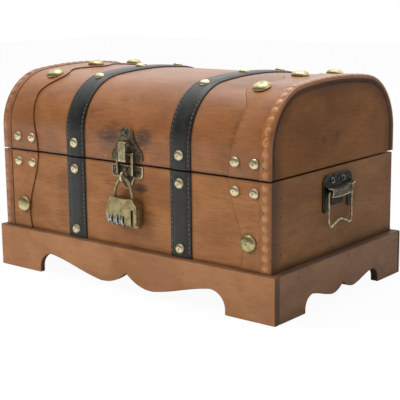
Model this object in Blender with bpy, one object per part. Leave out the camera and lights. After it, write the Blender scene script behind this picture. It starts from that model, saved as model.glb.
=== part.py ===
"""Small wooden treasure chest with a domed lid, leather straps, a hasp and a hanging padlock.

Metres, +Z up. The front faces -Y, +X is to the right when looking at the front, and the
chest stands on its plinth's feet at z = 0.
"""
import math

import bmesh
import bpy
from mathutils import Matrix, Vector

for leftover in list(bpy.data.objects):
    bpy.data.objects.remove(leftover, do_unlink=True)

mm = 0.001

# Box
fit_gap = 0.3 * mm
body_width = 280 * mm
body_depth = 172 * mm
wall_thickness = 8 * mm
body_bottom_height = 19.5 * mm
bottom_thickness = 5 * mm
seam_height = 102.1 * mm
seam_gap = 1.4 * mm
wood_edge_radius = 0.6 * mm

# Domed lid
lid_side_height = 19.5 * mm
crown_radius = 400 * mm
shoulder_radius = 45 * mm
shell_thickness = 3.2 * mm
end_panel_thickness = 8 * mm
end_panel_recess = 0.5 * mm
rail_height = 14 * mm
rail_thickness = 8 * mm

# Plinth, whose boards have scalloped lower edges
plinth_height = 36 * mm
plinth_front_thickness = 5.2 * mm
plinth_back_thickness = 3.4 * mm
plinth_left_thickness = 4.2 * mm
plinth_right_thickness = 6.9 * mm
plinth_edge_radius = 0.8 * mm
scallop_shift = 3.3 * mm
foot_half_span = 98.6 * mm
foot_arc_width = 14.1 * mm
scallop_top = 17.5 * mm
scallop_lobe = 5.0 * mm
scallop_cusp = 15.2 * mm
lobe_place_share = 0.325
side_scallop_shift = 0.8 * mm
side_foot_half_span = 53 * mm
side_foot_arc_width = 10 * mm
side_scallop_top = 12.8 * mm
side_scallop_lobe = 6.1 * mm
side_scallop_cusp = 12.4 * mm
side_lobe_place_share = 0.37
foot_spring_share = 0.25
fall_ease_share = 0.4
cusp_power = 2.3

# Trims, straps and studs are all set a little to the right of the middle
fittings_shift = 2.0 * mm

# Stitched edge strips and thin corner trims with a waved inner border
edge_strip_width = 9.5 * mm
edge_strip_thickness = 1.5 * mm
edge_strip_round = 0.5 * mm
trim_thickness = 0.8 * mm
trim_width_at_seam = 39.5 * mm
body_border_swing = 6.2 * mm
body_border_half_wave = 52 * mm
lid_border_rise = 7.8 * mm
lid_border_swing = 6.0 * mm

# Leather straps
strap_inset = 84.6 * mm
strap_width = 20 * mm
strap_edge_thickness = 0.9 * mm
strap_middle_thickness = 1.5 * mm
strap_margin = 3.8 * mm
strap_slope_width = 1.0 * mm

# Domed studs
small_stud_radius = 4.1 * mm
small_stud_height = 2.6 * mm
large_stud_radius = 7.0 * mm
large_stud_height = 3.9 * mm
stud_rim = 0.4 * mm
stud_sink = 0.35 * mm
lid_stud_spread_share = 0.19
seam_stud_above = 12.3 * mm
seam_stud_below = 8.9 * mm
strap_low_stud_height = 43 * mm
outer_stud_inset = 16 * mm
inner_stud_inset = 33.2 * mm
large_stud_inset = 21.2 * mm
trim_large_stud_height = 56.3 * mm
lid_stud_inset = 31.5 * mm
lid_stud_forward_share = 0.025

# Butt hinges behind the seam
hinge_side_gap = 5.5 * mm
hinge_leaf_height = 14 * mm
hinge_leaf_thickness = 1.0 * mm
knuckle_radius = 2.1 * mm
hinge_pin_radius = 0.9 * mm
hinge_bore_radius = 1.2 * mm
hinge_pin_head = 1.5 * mm
hinge_leaf_seam_gap = 2.3 * mm

# Hasp plates, a little right of the middle
latch_centre = 3.6 * mm
plate_thickness = 1.0 * mm
plate_half_width = 16.1 * mm
upper_plate_seam_gap = 2.6 * mm
lower_plate_seam_gap = 0.6 * mm
upper_ear_height = 4.9 * mm
upper_neck_half_width = 6.9 * mm
upper_plate_height = 26.9 * mm
upper_neck_height = 19.9 * mm
bell_side_shares = ((0.21, 0.90), (0.40, 0.62), (0.59, 0.34), (0.79, 0.12))
plate_corner_radius = 3 * mm
lower_ear_height = 10 * mm
lower_plate_height = 18.5 * mm
lower_tip_radius = 5.2 * mm
lower_ear_radius = 4.5 * mm
lower_notch_half_width = 7.6 * mm
lower_notch_rise = 0.7 * mm
nail_hole_radius = 1.0 * mm
ear_hole_inset = 4.6 * mm
tongue_width = 7.3 * mm
tongue_thickness = 1.2 * mm
tongue_reach = 7.2 * mm
tongue_top = 18.1 * mm
tongue_bottom = 2.6 * mm
tongue_fold = 4.6 * mm
window_clearance = 0.4 * mm

# Hasp link: two arms on a cross bar that turns behind the tongue
link_axis_reach = 3.1 * mm
link_bar_radius = 0.9 * mm
link_arm_centre = 7.5 * mm
link_arm_thickness = 1.3 * mm
link_arm_drop = 11.1 * mm
link_arm_top_radius = 1.5 * mm
link_arm_half_depth = 1.4 * mm
link_arm_chamfer = 1.3 * mm

# Staple ring on the lower plate
staple_wire = 1.6 * mm
staple_height = 8.6 * mm
staple_reach = 9.8 * mm
staple_drop = 8.9 * mm

# Padlock
lock_plane_reach = 5.8 * mm
shackle_wire = 2.5 * mm
shackle_bow_height = 15.6 * mm
shackle_leg_spread = 9.35 * mm
lock_top_drop = 15.2 * mm
lock_width = 32 * mm
lock_height = 23 * mm
lock_thickness = 7.6 * mm
lock_shoulder = 4.2 * mm
lock_shoulder_rise = 3.4 * mm
lock_edge_radius = 0.9 * mm
lock_chamfer = 2.4 * mm
long_leg_depth = 11 * mm
short_leg_depth = 4.4 * mm
leg_bore_clearance = 0.35 * mm
dial_radius = 4.2 * mm
dial_thickness = 2.9 * mm
dial_pitch = 5.9 * mm
dial_group_left = 4.8 * mm
dial_rise = 5.4 * mm
dial_proud = 1.5 * mm
dial_clearance = 0.35 * mm
dial_axle_radius = 1.0 * mm
column_radius = 1.9 * mm
column_height = 14 * mm
column_groove = 0.9 * mm

# Side handles
handle_plate_half_width = 20.4 * mm
handle_plate_rise = 13 * mm
handle_leg_drop = 15.6 * mm
handle_clip = 4.2 * mm
handle_leg_width = 6 * mm
handle_tab_half_width = 7 * mm
handle_tab_drop = 10.1 * mm
handle_web_drop = 5.1 * mm
barrel_drop = 17.9 * mm
barrel_half_length = 14.6 * mm
barrel_radius = 2.7 * mm
barrel_sink = 0.4 * mm
bail_wire = 1.8 * mm
bail_half_width = 16.4 * mm
bail_drop = 28.4 * mm
bail_corner_radius = 4.5 * mm
bail_notch = 5.2 * mm
bail_bore_clearance = 0.3 * mm
screw_hole_radius = 1.3 * mm
screw_hole_spacing = 15 * mm
screw_hole_drop = 4.6 * mm

overrun = 2 * mm

# Places that follow from the sizes
half_width = body_width / 2
half_depth = body_depth / 2
shoulder_y = half_depth - shoulder_radius
shoulder_z = seam_height + lid_side_height
crown_centre_z = shoulder_z - math.sqrt((crown_radius - shoulder_radius) ** 2 - shoulder_y ** 2)
crown_half_angle = math.asin(shoulder_y / (crown_radius - shoulder_radius))
shoulder_angle = math.pi / 2 - crown_half_angle
shoulder_run = shoulder_radius * shoulder_angle
girth = 2 * (lid_side_height + shoulder_run + crown_radius * crown_half_angle)
lid_start = seam_gap
plinth_left_end = half_width + fit_gap + plinth_left_thickness
plinth_right_end = half_width + fit_gap + plinth_right_thickness
strip_inner = half_width - edge_strip_width
trim_border_at_seam = half_width - trim_width_at_seam
strap_centre = half_width - strap_inset
trim_outer_stud = half_width - outer_stud_inset
trim_inner_stud = half_width - inner_stud_inset
trim_large_stud = half_width - large_stud_inset
lid_large_stud = half_width - lid_stud_inset
strap_outer_edge = strap_centre + strap_width / 2
hinge_width = trim_border_at_seam - strap_outer_edge - 2 * hinge_side_gap
hinge_centre = (strap_outer_edge + trim_border_at_seam) / 2
lid_stud_spread = lid_stud_spread_share * girth
lid_stud_forward = lid_stud_forward_share * girth
hinge_axis_y = half_depth + fit_gap + knuckle_radius
hinge_axis_z = seam_height + seam_gap / 2
plate_front = half_depth + fit_gap + plate_thickness
link_axis_z = seam_height + tongue_bottom + tongue_fold + fit_gap + link_bar_radius
link_axis_y = -(half_depth + link_axis_reach)
staple_z = seam_height - staple_drop
lock_y = -(half_depth + lock_plane_reach)
staple_bow_radius = (staple_height - staple_wire) / 2
staple_bow_y = -(half_depth + staple_reach - staple_wire / 2 - staple_bow_radius)
hang_room = staple_bow_radius - staple_wire / 2 - shackle_wire / 2 - fit_gap
swing_z = staple_z - math.sqrt(hang_room ** 2 - (lock_y - staple_bow_y) ** 2)
lock_top = swing_z - lock_top_drop
lock_bottom = lock_top - lock_height
lock_front = lock_y - lock_thickness / 2
dial_y = lock_front - dial_proud + dial_radius
dial_z = lock_bottom + dial_rise
barrel_height = seam_height - barrel_drop
handle_plate_top = barrel_height + handle_plate_rise
handle_plate_foot = barrel_height - handle_leg_drop
barrel_x = half_width + fit_gap + plate_thickness + barrel_radius - barrel_sink

# The origin lies under the middle of the whole object's box, which reaches from the dials to the
# hinge knuckles and from the left barrel to the right plinth board
front_reach = -(dial_y - dial_radius)
back_reach = hinge_axis_y + knuckle_radius
middle_shift = (front_reach - back_reach) / 2
side_shift = (barrel_x + barrel_radius - plinth_right_end) / 2

chest = bpy.data.objects.new("chest_middle", None)
chest.location = (side_shift, middle_shift, 0)
bpy.context.scene.collection.objects.link(chest)


# Finishes
def finish(name, colour, roughness, metallic=0.0):
    material = bpy.data.materials.new(name)
    material.use_nodes = True
    shader = material.node_tree.nodes["Principled BSDF"]
    shader.inputs["Base Color"].default_value = (*colour, 1.0)
    shader.inputs["Roughness"].default_value = roughness
    shader.inputs["Metallic"].default_value = metallic
    material.diffuse_color = (*colour, 1.0)
    return material


stained_wood = finish("stained_wood", (0.30, 0.13, 0.055), 0.42)
end_wood = finish("end_wood", (0.17, 0.09, 0.045), 0.5)
plinth_wood = finish("plinth_wood", (0.25, 0.12, 0.06), 0.6)
inner_wood = finish("inner_wood", (0.42, 0.27, 0.15), 0.75)
tan_leather = finish("tan_leather", (0.42, 0.19, 0.08), 0.5)
black_leather = finish("black_leather", (0.02, 0.02, 0.022), 0.4)
pale_brass = finish("pale_brass", (0.62, 0.55, 0.36), 0.3, 1.0)
antique_bronze = finish("antique_bronze", (0.32, 0.28, 0.17), 0.38, 1.0)
dark_iron = finish("dark_iron", (0.05, 0.055, 0.05), 0.45, 1.0)
silver_steel = finish("silver_steel", (0.6, 0.6, 0.6), 0.3, 1.0)


# Building tools
def add_object(name, data, material):
    thing = bpy.data.objects.new(name, data)
    data.materials.append(material)
    bpy.context.scene.collection.objects.link(thing)
    thing.parent = chest
    return thing


def finish_mesh(bm, name, material, smooth_angle=None):
    bmesh.ops.recalc_face_normals(bm, faces=bm.faces)
    mesh = bpy.data.meshes.new(name)
    bm.to_mesh(mesh)
    bm.free()
    if smooth_angle is not None:
        mesh.shade_smooth()
        mesh.set_sharp_from_angle(angle=math.radians(smooth_angle))
    return add_object(name, mesh, material)


def loft(name, rings, material, smooth_angle=None):
    """Closed solid through rings of points, with a flat cap on each end."""
    bm = bmesh.new()
    loops = [[bm.verts.new(point) for point in ring] for ring in rings]
    for near, far in zip(loops, loops[1:]):
        for i in range(len(near)):
            j = (i + 1) % len(near)
            bm.faces.new((near[i], near[j], far[j], far[i]))
    bm.faces.new(loops[0])
    bm.faces.new(loops[-1])
    return finish_mesh(bm, name, material, smooth_angle)


def board(name, low, high, material):
    """Rectangular board between two corners."""
    (x0, y0, z0), (x1, y1, z1) = low, high
    ring = [(x0, y0), (x1, y0), (x1, y1), (x0, y1)]
    return loft(name, [[(x, y, z) for x, y in ring] for z in (z0, z1)], material)


def slab_y(name, outline, y0, y1, material, smooth_angle=None):
    """Outline of (x, z) points made thick along Y."""
    return loft(name, [[(x, y, z) for x, z in outline] for y in (y0, y1)], material, smooth_angle)


def slab_x(name, outline, x0, x1, material, smooth_angle=None):
    """Outline of (y, z) points made thick along X."""
    return loft(name, [[(x, y, z) for y, z in outline] for x in (x0, x1)], material, smooth_angle)


def circle(radius, sides, centre=(0, 0), start=0.0):
    turn = 2 * math.pi / sides
    return [(centre[0] + radius * math.cos(start + turn * i),
             centre[1] + radius * math.sin(start + turn * i)) for i in range(sides)]


def arc(centre, radius, first, last, steps):
    """Points along an arc between two angles in degrees."""
    angles = [math.radians(first + (last - first) * i / steps) for i in range(steps + 1)]
    return [(centre[0] + radius * math.cos(a), centre[1] + radius * math.sin(a)) for a in angles]


def rod_x(name, radius, x0, x1, y, z, material, sides=16):
    return slab_x(name, circle(radius, sides, (y, z)), x0, x1, material, 40)


def rod_y(name, radius, y0, y1, x, z, material, sides=16):
    return slab_y(name, circle(radius, sides, (x, z)), y0, y1, material, 40)


def rod_z(name, radius, z0, z1, x, y, material, sides=16):
    ring = circle(radius, sides, (x, y))
    return loft(name, [[(px, py, z) for px, py in ring] for z in (z0, z1)], material, 40)


def soften(thing, width, segments=2):
    bevel = thing.modifiers.new("rounded_edges", "BEVEL")
    bevel.width = width
    bevel.segments = segments
    bevel.limit_method = "ANGLE"
    bevel.angle_limit = math.radians(50)


def hide_tool(tool):
    tool.hide_render = True
    tool.display_type = "WIRE"


def combine(thing, tool, operation):
    step = thing.modifiers.new(tool.name, "BOOLEAN")
    step.operation = operation
    step.object = tool
    step.solver = "EXACT"
    hide_tool(tool)


def cut(thing, tool):
    combine(thing, tool, "DIFFERENCE")


def fuse(thing, tool):
    combine(thing, tool, "UNION")


def wire(name, points, thickness, material, closed=False, roundness=2):
    """Round wire along a list of points."""
    curve = bpy.data.curves.new(name, "CURVE")
    curve.dimensions = "3D"
    curve.bevel_depth = thickness / 2
    curve.bevel_resolution = roundness
    curve.use_fill_caps = True
    spline = curve.splines.new("POLY")
    spline.points.add(len(points) - 1)
    for place, point in zip(spline.points, points):
        place.co = (*point, 1.0)
    spline.use_cyclic_u = closed
    return add_object(name, curve, material)


# The chest's outline from front to back, measured along the surface from the front seam
def outline_place(run, offset):
    """Point (y, z) and outward direction at a run up over the lid, or down the front if negative."""
    mirrored = run > girth / 2
    if mirrored:
        run = girth - run
    if run <= lid_side_height:
        y, z, out_y, out_z = -half_depth - offset, seam_height + run, -1.0, 0.0
    elif run <= lid_side_height + shoulder_run:
        angle = (run - lid_side_height) / shoulder_radius
        out_y, out_z = -math.cos(angle), math.sin(angle)
        y = -shoulder_y + (shoulder_radius + offset) * out_y
        z = shoulder_z + (shoulder_radius + offset) * out_z
    else:
        angle = crown_half_angle - (run - lid_side_height - shoulder_run) / crown_radius
        out_y, out_z = -math.sin(angle), math.cos(angle)
        y = (crown_radius + offset) * out_y
        z = crown_centre_z + (crown_radius + offset) * out_z
    if mirrored:
        y, out_y = -y, -out_y
    return y, z, out_y, out_z


def spaced(first, last, steps):
    return [first + (last - first) * i / steps for i in range(steps + 1)]


def lid_stations(crown_steps=10):
    """Runs at which a piece that wraps the lid has its rings."""
    shoulder_end = lid_side_height + shoulder_run
    front = spaced(lid_start, lid_side_height, 3)[:-1] + spaced(lid_side_height, shoulder_end, 9)[:-1]
    crown = spaced(shoulder_end, girth - shoulder_end, crown_steps)
    return front + crown + [girth - run for run in reversed(front)]


def wrap(name, stations, section, material):
    """Band that follows the outline: section(run) gives (x, offset) points."""
    rings = []
    for run in stations:
        ring = []
        for x, offset in section(run):
            y, z, _, _ = outline_place(run, offset)
            ring.append((x, y, z))
        rings.append(ring)
    return loft(name, rings, material, 35)


# Box
def build_box():
    inner = half_width - wall_thickness
    for side, sign in (("left", -1), ("right", 1)):
        xs = sorted((sign * inner, sign * half_width))
        wall = board(side + "_wall", (xs[0], -half_depth, body_bottom_height),
                     (xs[1], half_depth, seam_height), end_wood)
        soften(wall, wood_edge_radius, 1)
    for side, sign in (("front", -1), ("back", 1)):
        ys = sorted((sign * (half_depth - wall_thickness), sign * half_depth))
        reach = inner - fit_gap
        wall = board(side + "_wall", (-reach, ys[0], body_bottom_height),
                     (reach, ys[1], seam_height), stained_wood)
        soften(wall, wood_edge_radius, 1)
    reach_x = inner - fit_gap
    reach_y = half_depth - wall_thickness - fit_gap
    board("bottom_panel", (-reach_x, -reach_y, body_bottom_height),
          (reach_x, reach_y, body_bottom_height + bottom_thickness), inner_wood)


# Plinth
def scallop(ends, centre, foot_edge, foot_arc, top, lobe, lobe_share, cusp):
    """Board outline (along, z) whose lower edge has two feet, two lobes and a middle cusp."""
    crest = foot_edge - foot_arc
    lobe_at = crest * lobe_share
    spring = top * foot_spring_share
    half = [(foot_edge, 0)]
    for i in range(6):
        angle = math.pi / 2 * i / 6
        half.append((crest + foot_arc * math.cos(angle), spring + (top - spring) * math.sin(angle)))
    for i in range(9):
        share = i / 8
        eased = (1 - math.cos(math.pi * share)) / 2
        drop = share + (eased - share) * fall_ease_share
        half.append((crest + (lobe_at - crest) * share, top + (lobe - top) * drop))
    for i in range(1, 6):
        share = i / 5
        half.append((lobe_at * (1 - share), lobe + (cusp - lobe) * share ** cusp_power))
    edge = [(centre + x, z) for x, z in half] + [(centre - x, z) for x, z in reversed(half[:-1])]
    low, high = ends
    return [(high, plinth_height), (high, 0)] + edge + [(low, 0), (low, plinth_height)]


def build_plinth():
    long_edge = scallop((-plinth_left_end, plinth_right_end), scallop_shift, foot_half_span, foot_arc_width,
                        scallop_top, scallop_lobe, lobe_place_share, scallop_cusp)
    short_edge = scallop((-half_depth, half_depth), side_scallop_shift, side_foot_half_span,
                         side_foot_arc_width, side_scallop_top, side_scallop_lobe, side_lobe_place_share,
                         side_scallop_cusp)
    for side, sign, thickness in (("front", -1, plinth_front_thickness), ("back", 1, plinth_back_thickness)):
        near = sign * (half_depth + fit_gap)
        face = slab_y("plinth_" + side, long_edge, near, near + sign * thickness, plinth_wood)
        soften(face, plinth_edge_radius, 1)
    for side, sign, thickness in (("left", -1, plinth_left_thickness), ("right", 1, plinth_right_thickness)):
        near = sign * (half_width + fit_gap)
        face = slab_x("plinth_" + side, short_edge, near, near + sign * thickness, plinth_wood)
        soften(face, plinth_edge_radius, 1)


# Lid
def build_lid():
    stations = lid_stations()
    wrap("lid_shell", stations,
         lambda run: [(-half_width, -shell_thickness), (half_width, -shell_thickness),
                      (half_width, 0), (-half_width, 0)], stained_wood)
    inset = -(shell_thickness + fit_gap)
    arch = [outline_place(run, inset)[:2] for run in stations]
    for side, sign in (("left", -1), ("right", 1)):
        outer = sign * (half_width - end_panel_recess)
        slab_x("lid_end_" + side, arch, outer, outer - sign * end_panel_thickness, end_wood)
    reach = half_width - end_panel_recess - end_panel_thickness - fit_gap
    for side, sign in (("front", -1), ("back", 1)):
        outer = half_depth - shell_thickness - fit_gap
        ys = sorted((sign * outer, sign * (outer - rail_thickness)))
        low = seam_height + seam_gap
        board("lid_rail_" + side, (-reach, ys[0], low), (reach, ys[1], low + rail_height), inner_wood)


# Trims, strips and straps
def stud_mesh(radius, height, sides, rings, depth):
    """Domed stud head standing on z = 0, with its foot at -depth."""
    bm = bmesh.new()
    loops = [[bm.verts.new((x, y, -depth)) for x, y in circle(radius, sides)]]
    for i in range(rings):
        angle = math.pi / 2 * i / rings
        level = stud_rim + (height - stud_rim) * math.sin(angle)
        loops.append([bm.verts.new((x, y, level)) for x, y in circle(radius * math.cos(angle), sides)])
    peak = bm.verts.new((0, 0, height))
    for near, far in zip(loops, loops[1:]):
        for i in range(sides):
            j = (i + 1) % sides
            bm.faces.new((near[i], near[j], far[j], far[i]))
    for i in range(sides):
        bm.faces.new((loops[-1][i], loops[-1][(i + 1) % sides], peak))
    bm.faces.new(loops[0])
    return bm


def place_stud(name, x, run, offset, large=False, sink=0.0):
    """Stud at x and a run over the outline, with its axis along the outward direction."""
    if large:
        bm = stud_mesh(large_stud_radius, large_stud_height, 16, 4, sink)
    else:
        bm = stud_mesh(small_stud_radius, small_stud_height, 12, 3, sink)
    y, z, out_y, out_z = outline_place(run, offset)
    stud = finish_mesh(bm, name, pale_brass, 50)
    out = Vector((0, out_y, out_z))
    along = Vector((1, 0, 0))
    stud.matrix_local = Matrix.Translation((x, y, z)) @ Matrix(
        (along, out.cross(along), out)).transposed().to_4x4()
    return stud


def fuse_studs(carrier, places, offset):
    for number, (x, run) in enumerate(places, 1):
        stud = place_stud(f"{carrier.name}_stud_{number}", x, run, offset, sink=stud_sink)
        fuse(carrier, stud)


def body_border(run):
    middle = trim_border_at_seam + body_border_swing
    return middle - body_border_swing * math.cos(math.pi * run / body_border_half_wave)


def lid_stud_runs():
    """Runs of the front, top and back studs over the dome."""
    top = girth / 2 - lid_stud_forward
    return top - lid_stud_spread, top, top + lid_stud_spread


def lid_border(run):
    """Border's distance from the middle: it swings in round each large stud and runs out to the seams."""
    front, top, back = lid_stud_runs()
    first_crest = front - lid_stud_spread / 2
    last_crest = back + lid_stud_spread / 2
    crest = trim_border_at_seam + lid_border_rise
    if first_crest < run < last_crest:
        wave = math.cos(2 * math.pi * (run - top) / lid_stud_spread)
        return crest - lid_border_swing * (1 + wave)
    share = run / first_crest if run <= first_crest else (girth - run) / (girth - last_crest)
    return trim_border_at_seam + lid_border_rise * (1 - math.cos(math.pi * share)) / 2


def build_trims():
    body_runs = spaced(plinth_height + fit_gap - seam_height, 0, 14)
    offset = fit_gap + trim_thickness
    for side, sign in (("left", -1), ("right", 1)):
        outer = sign * (strip_inner - fit_gap)

        def section(border):
            def ring(run):
                inner = fittings_shift + sign * border(run)
                return [(inner, fit_gap), (outer, fit_gap), (outer, offset), (inner, offset)]
            return ring

        body_trim = wrap("body_trim_" + side, body_runs, section(body_border), stained_wood)
        outer_x = fittings_shift + sign * trim_outer_stud
        inner_x = fittings_shift + sign * trim_inner_stud
        fuse_studs(body_trim, [(outer_x, -seam_stud_below), (inner_x, -seam_stud_below)], offset)
        lid_trim = wrap("lid_trim_" + side, lid_stations(24), section(lid_border), stained_wood)
        fuse_studs(lid_trim, [(outer_x, seam_stud_above), (inner_x, seam_stud_above)], offset)
        place_stud("body_stud_" + side, fittings_shift + sign * trim_large_stud,
                   trim_large_stud_height - seam_height, offset + fit_gap, large=True)
        for place, run in zip(("front", "top", "back"), lid_stud_runs()):
            place_stud(f"lid_stud_{side}_{place}", fittings_shift + sign * lid_large_stud, run,
                       offset + fit_gap, large=True)


def build_edge_strips():
    low = fit_gap
    high = fit_gap + edge_strip_thickness
    body_runs = [plinth_height + fit_gap - seam_height, 0]
    for side, sign in (("left", -1), ("right", 1)):
        xs = [sign * strip_inner, sign * (strip_inner + edge_strip_round),
              sign * (half_width - edge_strip_round), sign * half_width]
        ring = [(xs[0], low), (xs[0], high - edge_strip_round), (xs[1], high),
                (xs[2], high), (xs[3], high - edge_strip_round), (xs[3], low)]
        wrap("body_edge_strip_" + side, body_runs, lambda run: ring, tan_leather)
        wrap("lid_edge_strip_" + side, lid_stations(), lambda run: ring, tan_leather)


def strap_ring(centre):
    edge = strap_width / 2
    inner = edge - strap_margin
    flat = inner - strap_slope_width
    low = fit_gap
    thin = fit_gap + strap_edge_thickness
    thick = fit_gap + strap_middle_thickness
    shape = [(-edge, low), (-edge, thin), (-inner, thin), (-flat, thick),
             (flat, thick), (inner, thin), (edge, thin), (edge, low)]
    return [(centre + x, offset) for x, offset in shape]


def build_straps():
    body_runs = [plinth_height + fit_gap - seam_height, 0]
    top = fit_gap + strap_middle_thickness
    over_lid = (seam_stud_above, *lid_stud_runs(), girth - seam_stud_above)
    for side, sign in (("left", -1), ("right", 1)):
        centre = fittings_shift + sign * strap_centre
        ring = strap_ring(centre)
        body_strap = wrap("body_strap_" + side, body_runs, lambda run: ring, black_leather)
        fuse_studs(body_strap, [(centre, -seam_stud_below),
                                (centre, strap_low_stud_height - seam_height)], top)
        lid_strap = wrap("lid_strap_" + side, lid_stations(), lambda run: ring, black_leather)
        fuse_studs(lid_strap, [(centre, run) for run in over_lid], top)


# Hinges
def build_hinge(side, centre):
    knuckle = (hinge_width - 2 * fit_gap) / 3
    x0 = centre - hinge_width / 2
    x1 = centre + hinge_width / 2
    near = half_depth + fit_gap
    far = near + hinge_leaf_thickness
    middle = (x0 + knuckle + fit_gap, x1 - knuckle - fit_gap)
    spans = {"body": [(x0, x0 + knuckle), (x1 - knuckle, x1)], "lid": [middle]}
    for part, direction in (("body", -1), ("lid", 1)):
        root = hinge_axis_z + direction * hinge_leaf_seam_gap
        zs = sorted((root, hinge_axis_z + direction * hinge_leaf_height))
        leaf = board(f"hinge_{side}_{part}_leaf", (x0, near, zs[0]), (x1, far, zs[1]), antique_bronze)
        for number, (a, b) in enumerate(spans[part], 1):
            tube = rod_x(f"{leaf.name}_knuckle_{number}", knuckle_radius, a, b,
                         hinge_axis_y, hinge_axis_z, antique_bronze, 18)
            fuse(leaf, tube)
            neck_zs = sorted((hinge_axis_z, root + direction * hinge_leaf_thickness))
            neck = board(f"{leaf.name}_neck_{number}", (a, near, neck_zs[0]), (b, far, neck_zs[1]),
                         antique_bronze)
            fuse(leaf, neck)
        cut(leaf, rod_x(leaf.name + "_bore", hinge_bore_radius, x0 - overrun, x1 + overrun,
                        hinge_axis_y, hinge_axis_z, antique_bronze, 18))
    head = hinge_pin_head / 2
    rings = []
    for x, radius in ((x0 - fit_gap - head, head), (x0 - fit_gap, hinge_pin_head),
                      (x0 - fit_gap, hinge_pin_radius), (x1 + fit_gap, hinge_pin_radius),
                      (x1 + fit_gap, hinge_pin_head), (x1 + fit_gap + head, head)):
        rings.append([(x, y, z) for y, z in circle(radius, 14, (hinge_axis_y, hinge_axis_z))])
    loft(f"hinge_{side}_pin", rings, antique_bronze, 40)


# Hasp
def upper_plate_outline():
    """Bell shape: wide ears by the seam, narrowing to a round top."""
    bottom = seam_height + upper_plate_seam_gap
    ear = bottom + upper_ear_height
    neck = bottom + upper_neck_height
    top_centre = bottom + upper_plate_height - upper_neck_half_width
    corner = plate_corner_radius
    half = arc((plate_half_width - corner, bottom + corner), corner, -90, 0, 5)
    half.append((plate_half_width, ear))
    for rise, width in bell_side_shares:
        half.append((upper_neck_half_width + (plate_half_width - upper_neck_half_width) * width,
                     ear + (neck - ear) * rise))
    half += arc((0, top_centre), upper_neck_half_width, 0, 90, 8)
    return shift_outline(half, latch_centre)


def lower_plate_outline():
    """Two round ears by the seam and a round tip below."""
    top = seam_height - lower_plate_seam_gap
    ear = top - lower_ear_height
    tip_centre = top - lower_plate_height + lower_tip_radius
    corner = plate_corner_radius / 2
    half = arc((plate_half_width - corner, top - corner), corner, 90, 0, 3)
    half += arc((plate_half_width - lower_ear_radius, ear + lower_ear_radius), lower_ear_radius, 0, -90, 6)
    half.append((lower_notch_half_width, ear + lower_notch_rise))
    half += arc((0, tip_centre), lower_tip_radius, 0, -90, 7)
    return shift_outline(half, latch_centre)


def shift_outline(half, centre):
    """Whole outline from its right half, whose last point is on the centre line."""
    return [(centre + x, z) for x, z in half] + [(centre - x, z) for x, z in reversed(half[:-1])]


def drill(plate, places):
    near = -(half_depth - overrun)
    for number, (x, z) in enumerate(places, 1):
        cut(plate, rod_y(f"{plate.name}_hole_{number}", nail_hole_radius, near, -(plate_front + overrun),
                         x, z, antique_bronze, 10))


def build_hasp_plates():
    back = -(half_depth + fit_gap)
    upper = slab_y("hasp_upper_plate", upper_plate_outline(), back, -plate_front, antique_bronze)
    half_window = tongue_width / 2 + window_clearance
    window_low = seam_height + tongue_bottom + window_clearance
    window_high = seam_height + tongue_top - tongue_thickness
    cut(upper, board("hasp_window", (latch_centre - half_window, -(plate_front + overrun), window_low),
                     (latch_centre + half_window, -(half_depth - overrun), window_high), antique_bronze))
    front = -(half_depth + tongue_reach)
    top = seam_height + tongue_top
    bottom = seam_height + tongue_bottom
    bend = tongue_thickness
    inside = front + tongue_thickness
    lip_end = link_axis_y + link_bar_radius
    hook = [(back, top), (front + bend / 2, top), (front, top - bend / 2),
            (front, bottom + bend / 2), (front + bend / 2, bottom), (lip_end - bend / 2, bottom),
            (lip_end, bottom + bend / 2), (lip_end, bottom + tongue_fold - bend / 2),
            (lip_end - bend / 2, bottom + tongue_fold), (inside, bottom + tongue_fold),
            (inside, top - bend), (back, top - bend)]
    fuse(upper, slab_x("hasp_tongue", hook, latch_centre - tongue_width / 2,
                       latch_centre + tongue_width / 2, antique_bronze))
    ear_x = plate_half_width - ear_hole_inset
    ear_z = seam_height + upper_plate_seam_gap + ear_hole_inset
    top_z = seam_height + upper_plate_seam_gap + upper_plate_height - ear_hole_inset
    drill(upper, [(latch_centre - ear_x, ear_z), (latch_centre + ear_x, ear_z), (latch_centre, top_z)])

    lower = slab_y("hasp_lower_plate", lower_plate_outline(), back, -plate_front, antique_bronze)
    ear_z = seam_height - lower_plate_seam_gap - ear_hole_inset
    drill(lower, [(latch_centre - ear_x, ear_z), (latch_centre + ear_x, ear_z),
                  (latch_centre, seam_height - lower_plate_seam_gap - nail_hole_radius * 3)])


def build_hasp_link():
    x_in = link_arm_centre - link_arm_thickness / 2
    x_out = link_arm_centre + link_arm_thickness / 2
    bottom = seam_height - link_arm_drop
    waist = link_axis_z - 2 * link_arm_top_radius
    depth = link_arm_half_depth
    top = arc((link_axis_y, link_axis_z), link_arm_top_radius, 0, 180, 8)
    outline = top + [(link_axis_y - depth, waist),
                     (link_axis_y - depth, bottom + link_arm_chamfer),
                     (link_axis_y - depth + link_arm_chamfer, bottom),
                     (link_axis_y + depth, bottom),
                     (link_axis_y + depth, waist)]
    link = rod_x("hasp_link", link_bar_radius, latch_centre - link_arm_centre,
                 latch_centre + link_arm_centre, link_axis_y, link_axis_z, antique_bronze, 14)
    for side, sign in (("left", -1), ("right", 1)):
        arm = slab_x("hasp_arm_" + side, outline, latch_centre + sign * x_in,
                     latch_centre + sign * x_out, antique_bronze)
        fuse(link, arm)


def build_staple():
    start = -(plate_front + fit_gap)
    bow = arc((staple_bow_y, staple_z), staple_bow_radius, 90, 270, 12)
    path = [(start, staple_z + staple_bow_radius)] + bow + [(start, staple_z - staple_bow_radius)]
    wire("lock_staple", [(latch_centre, y, z) for y, z in path], staple_wire, antique_bronze)


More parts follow.
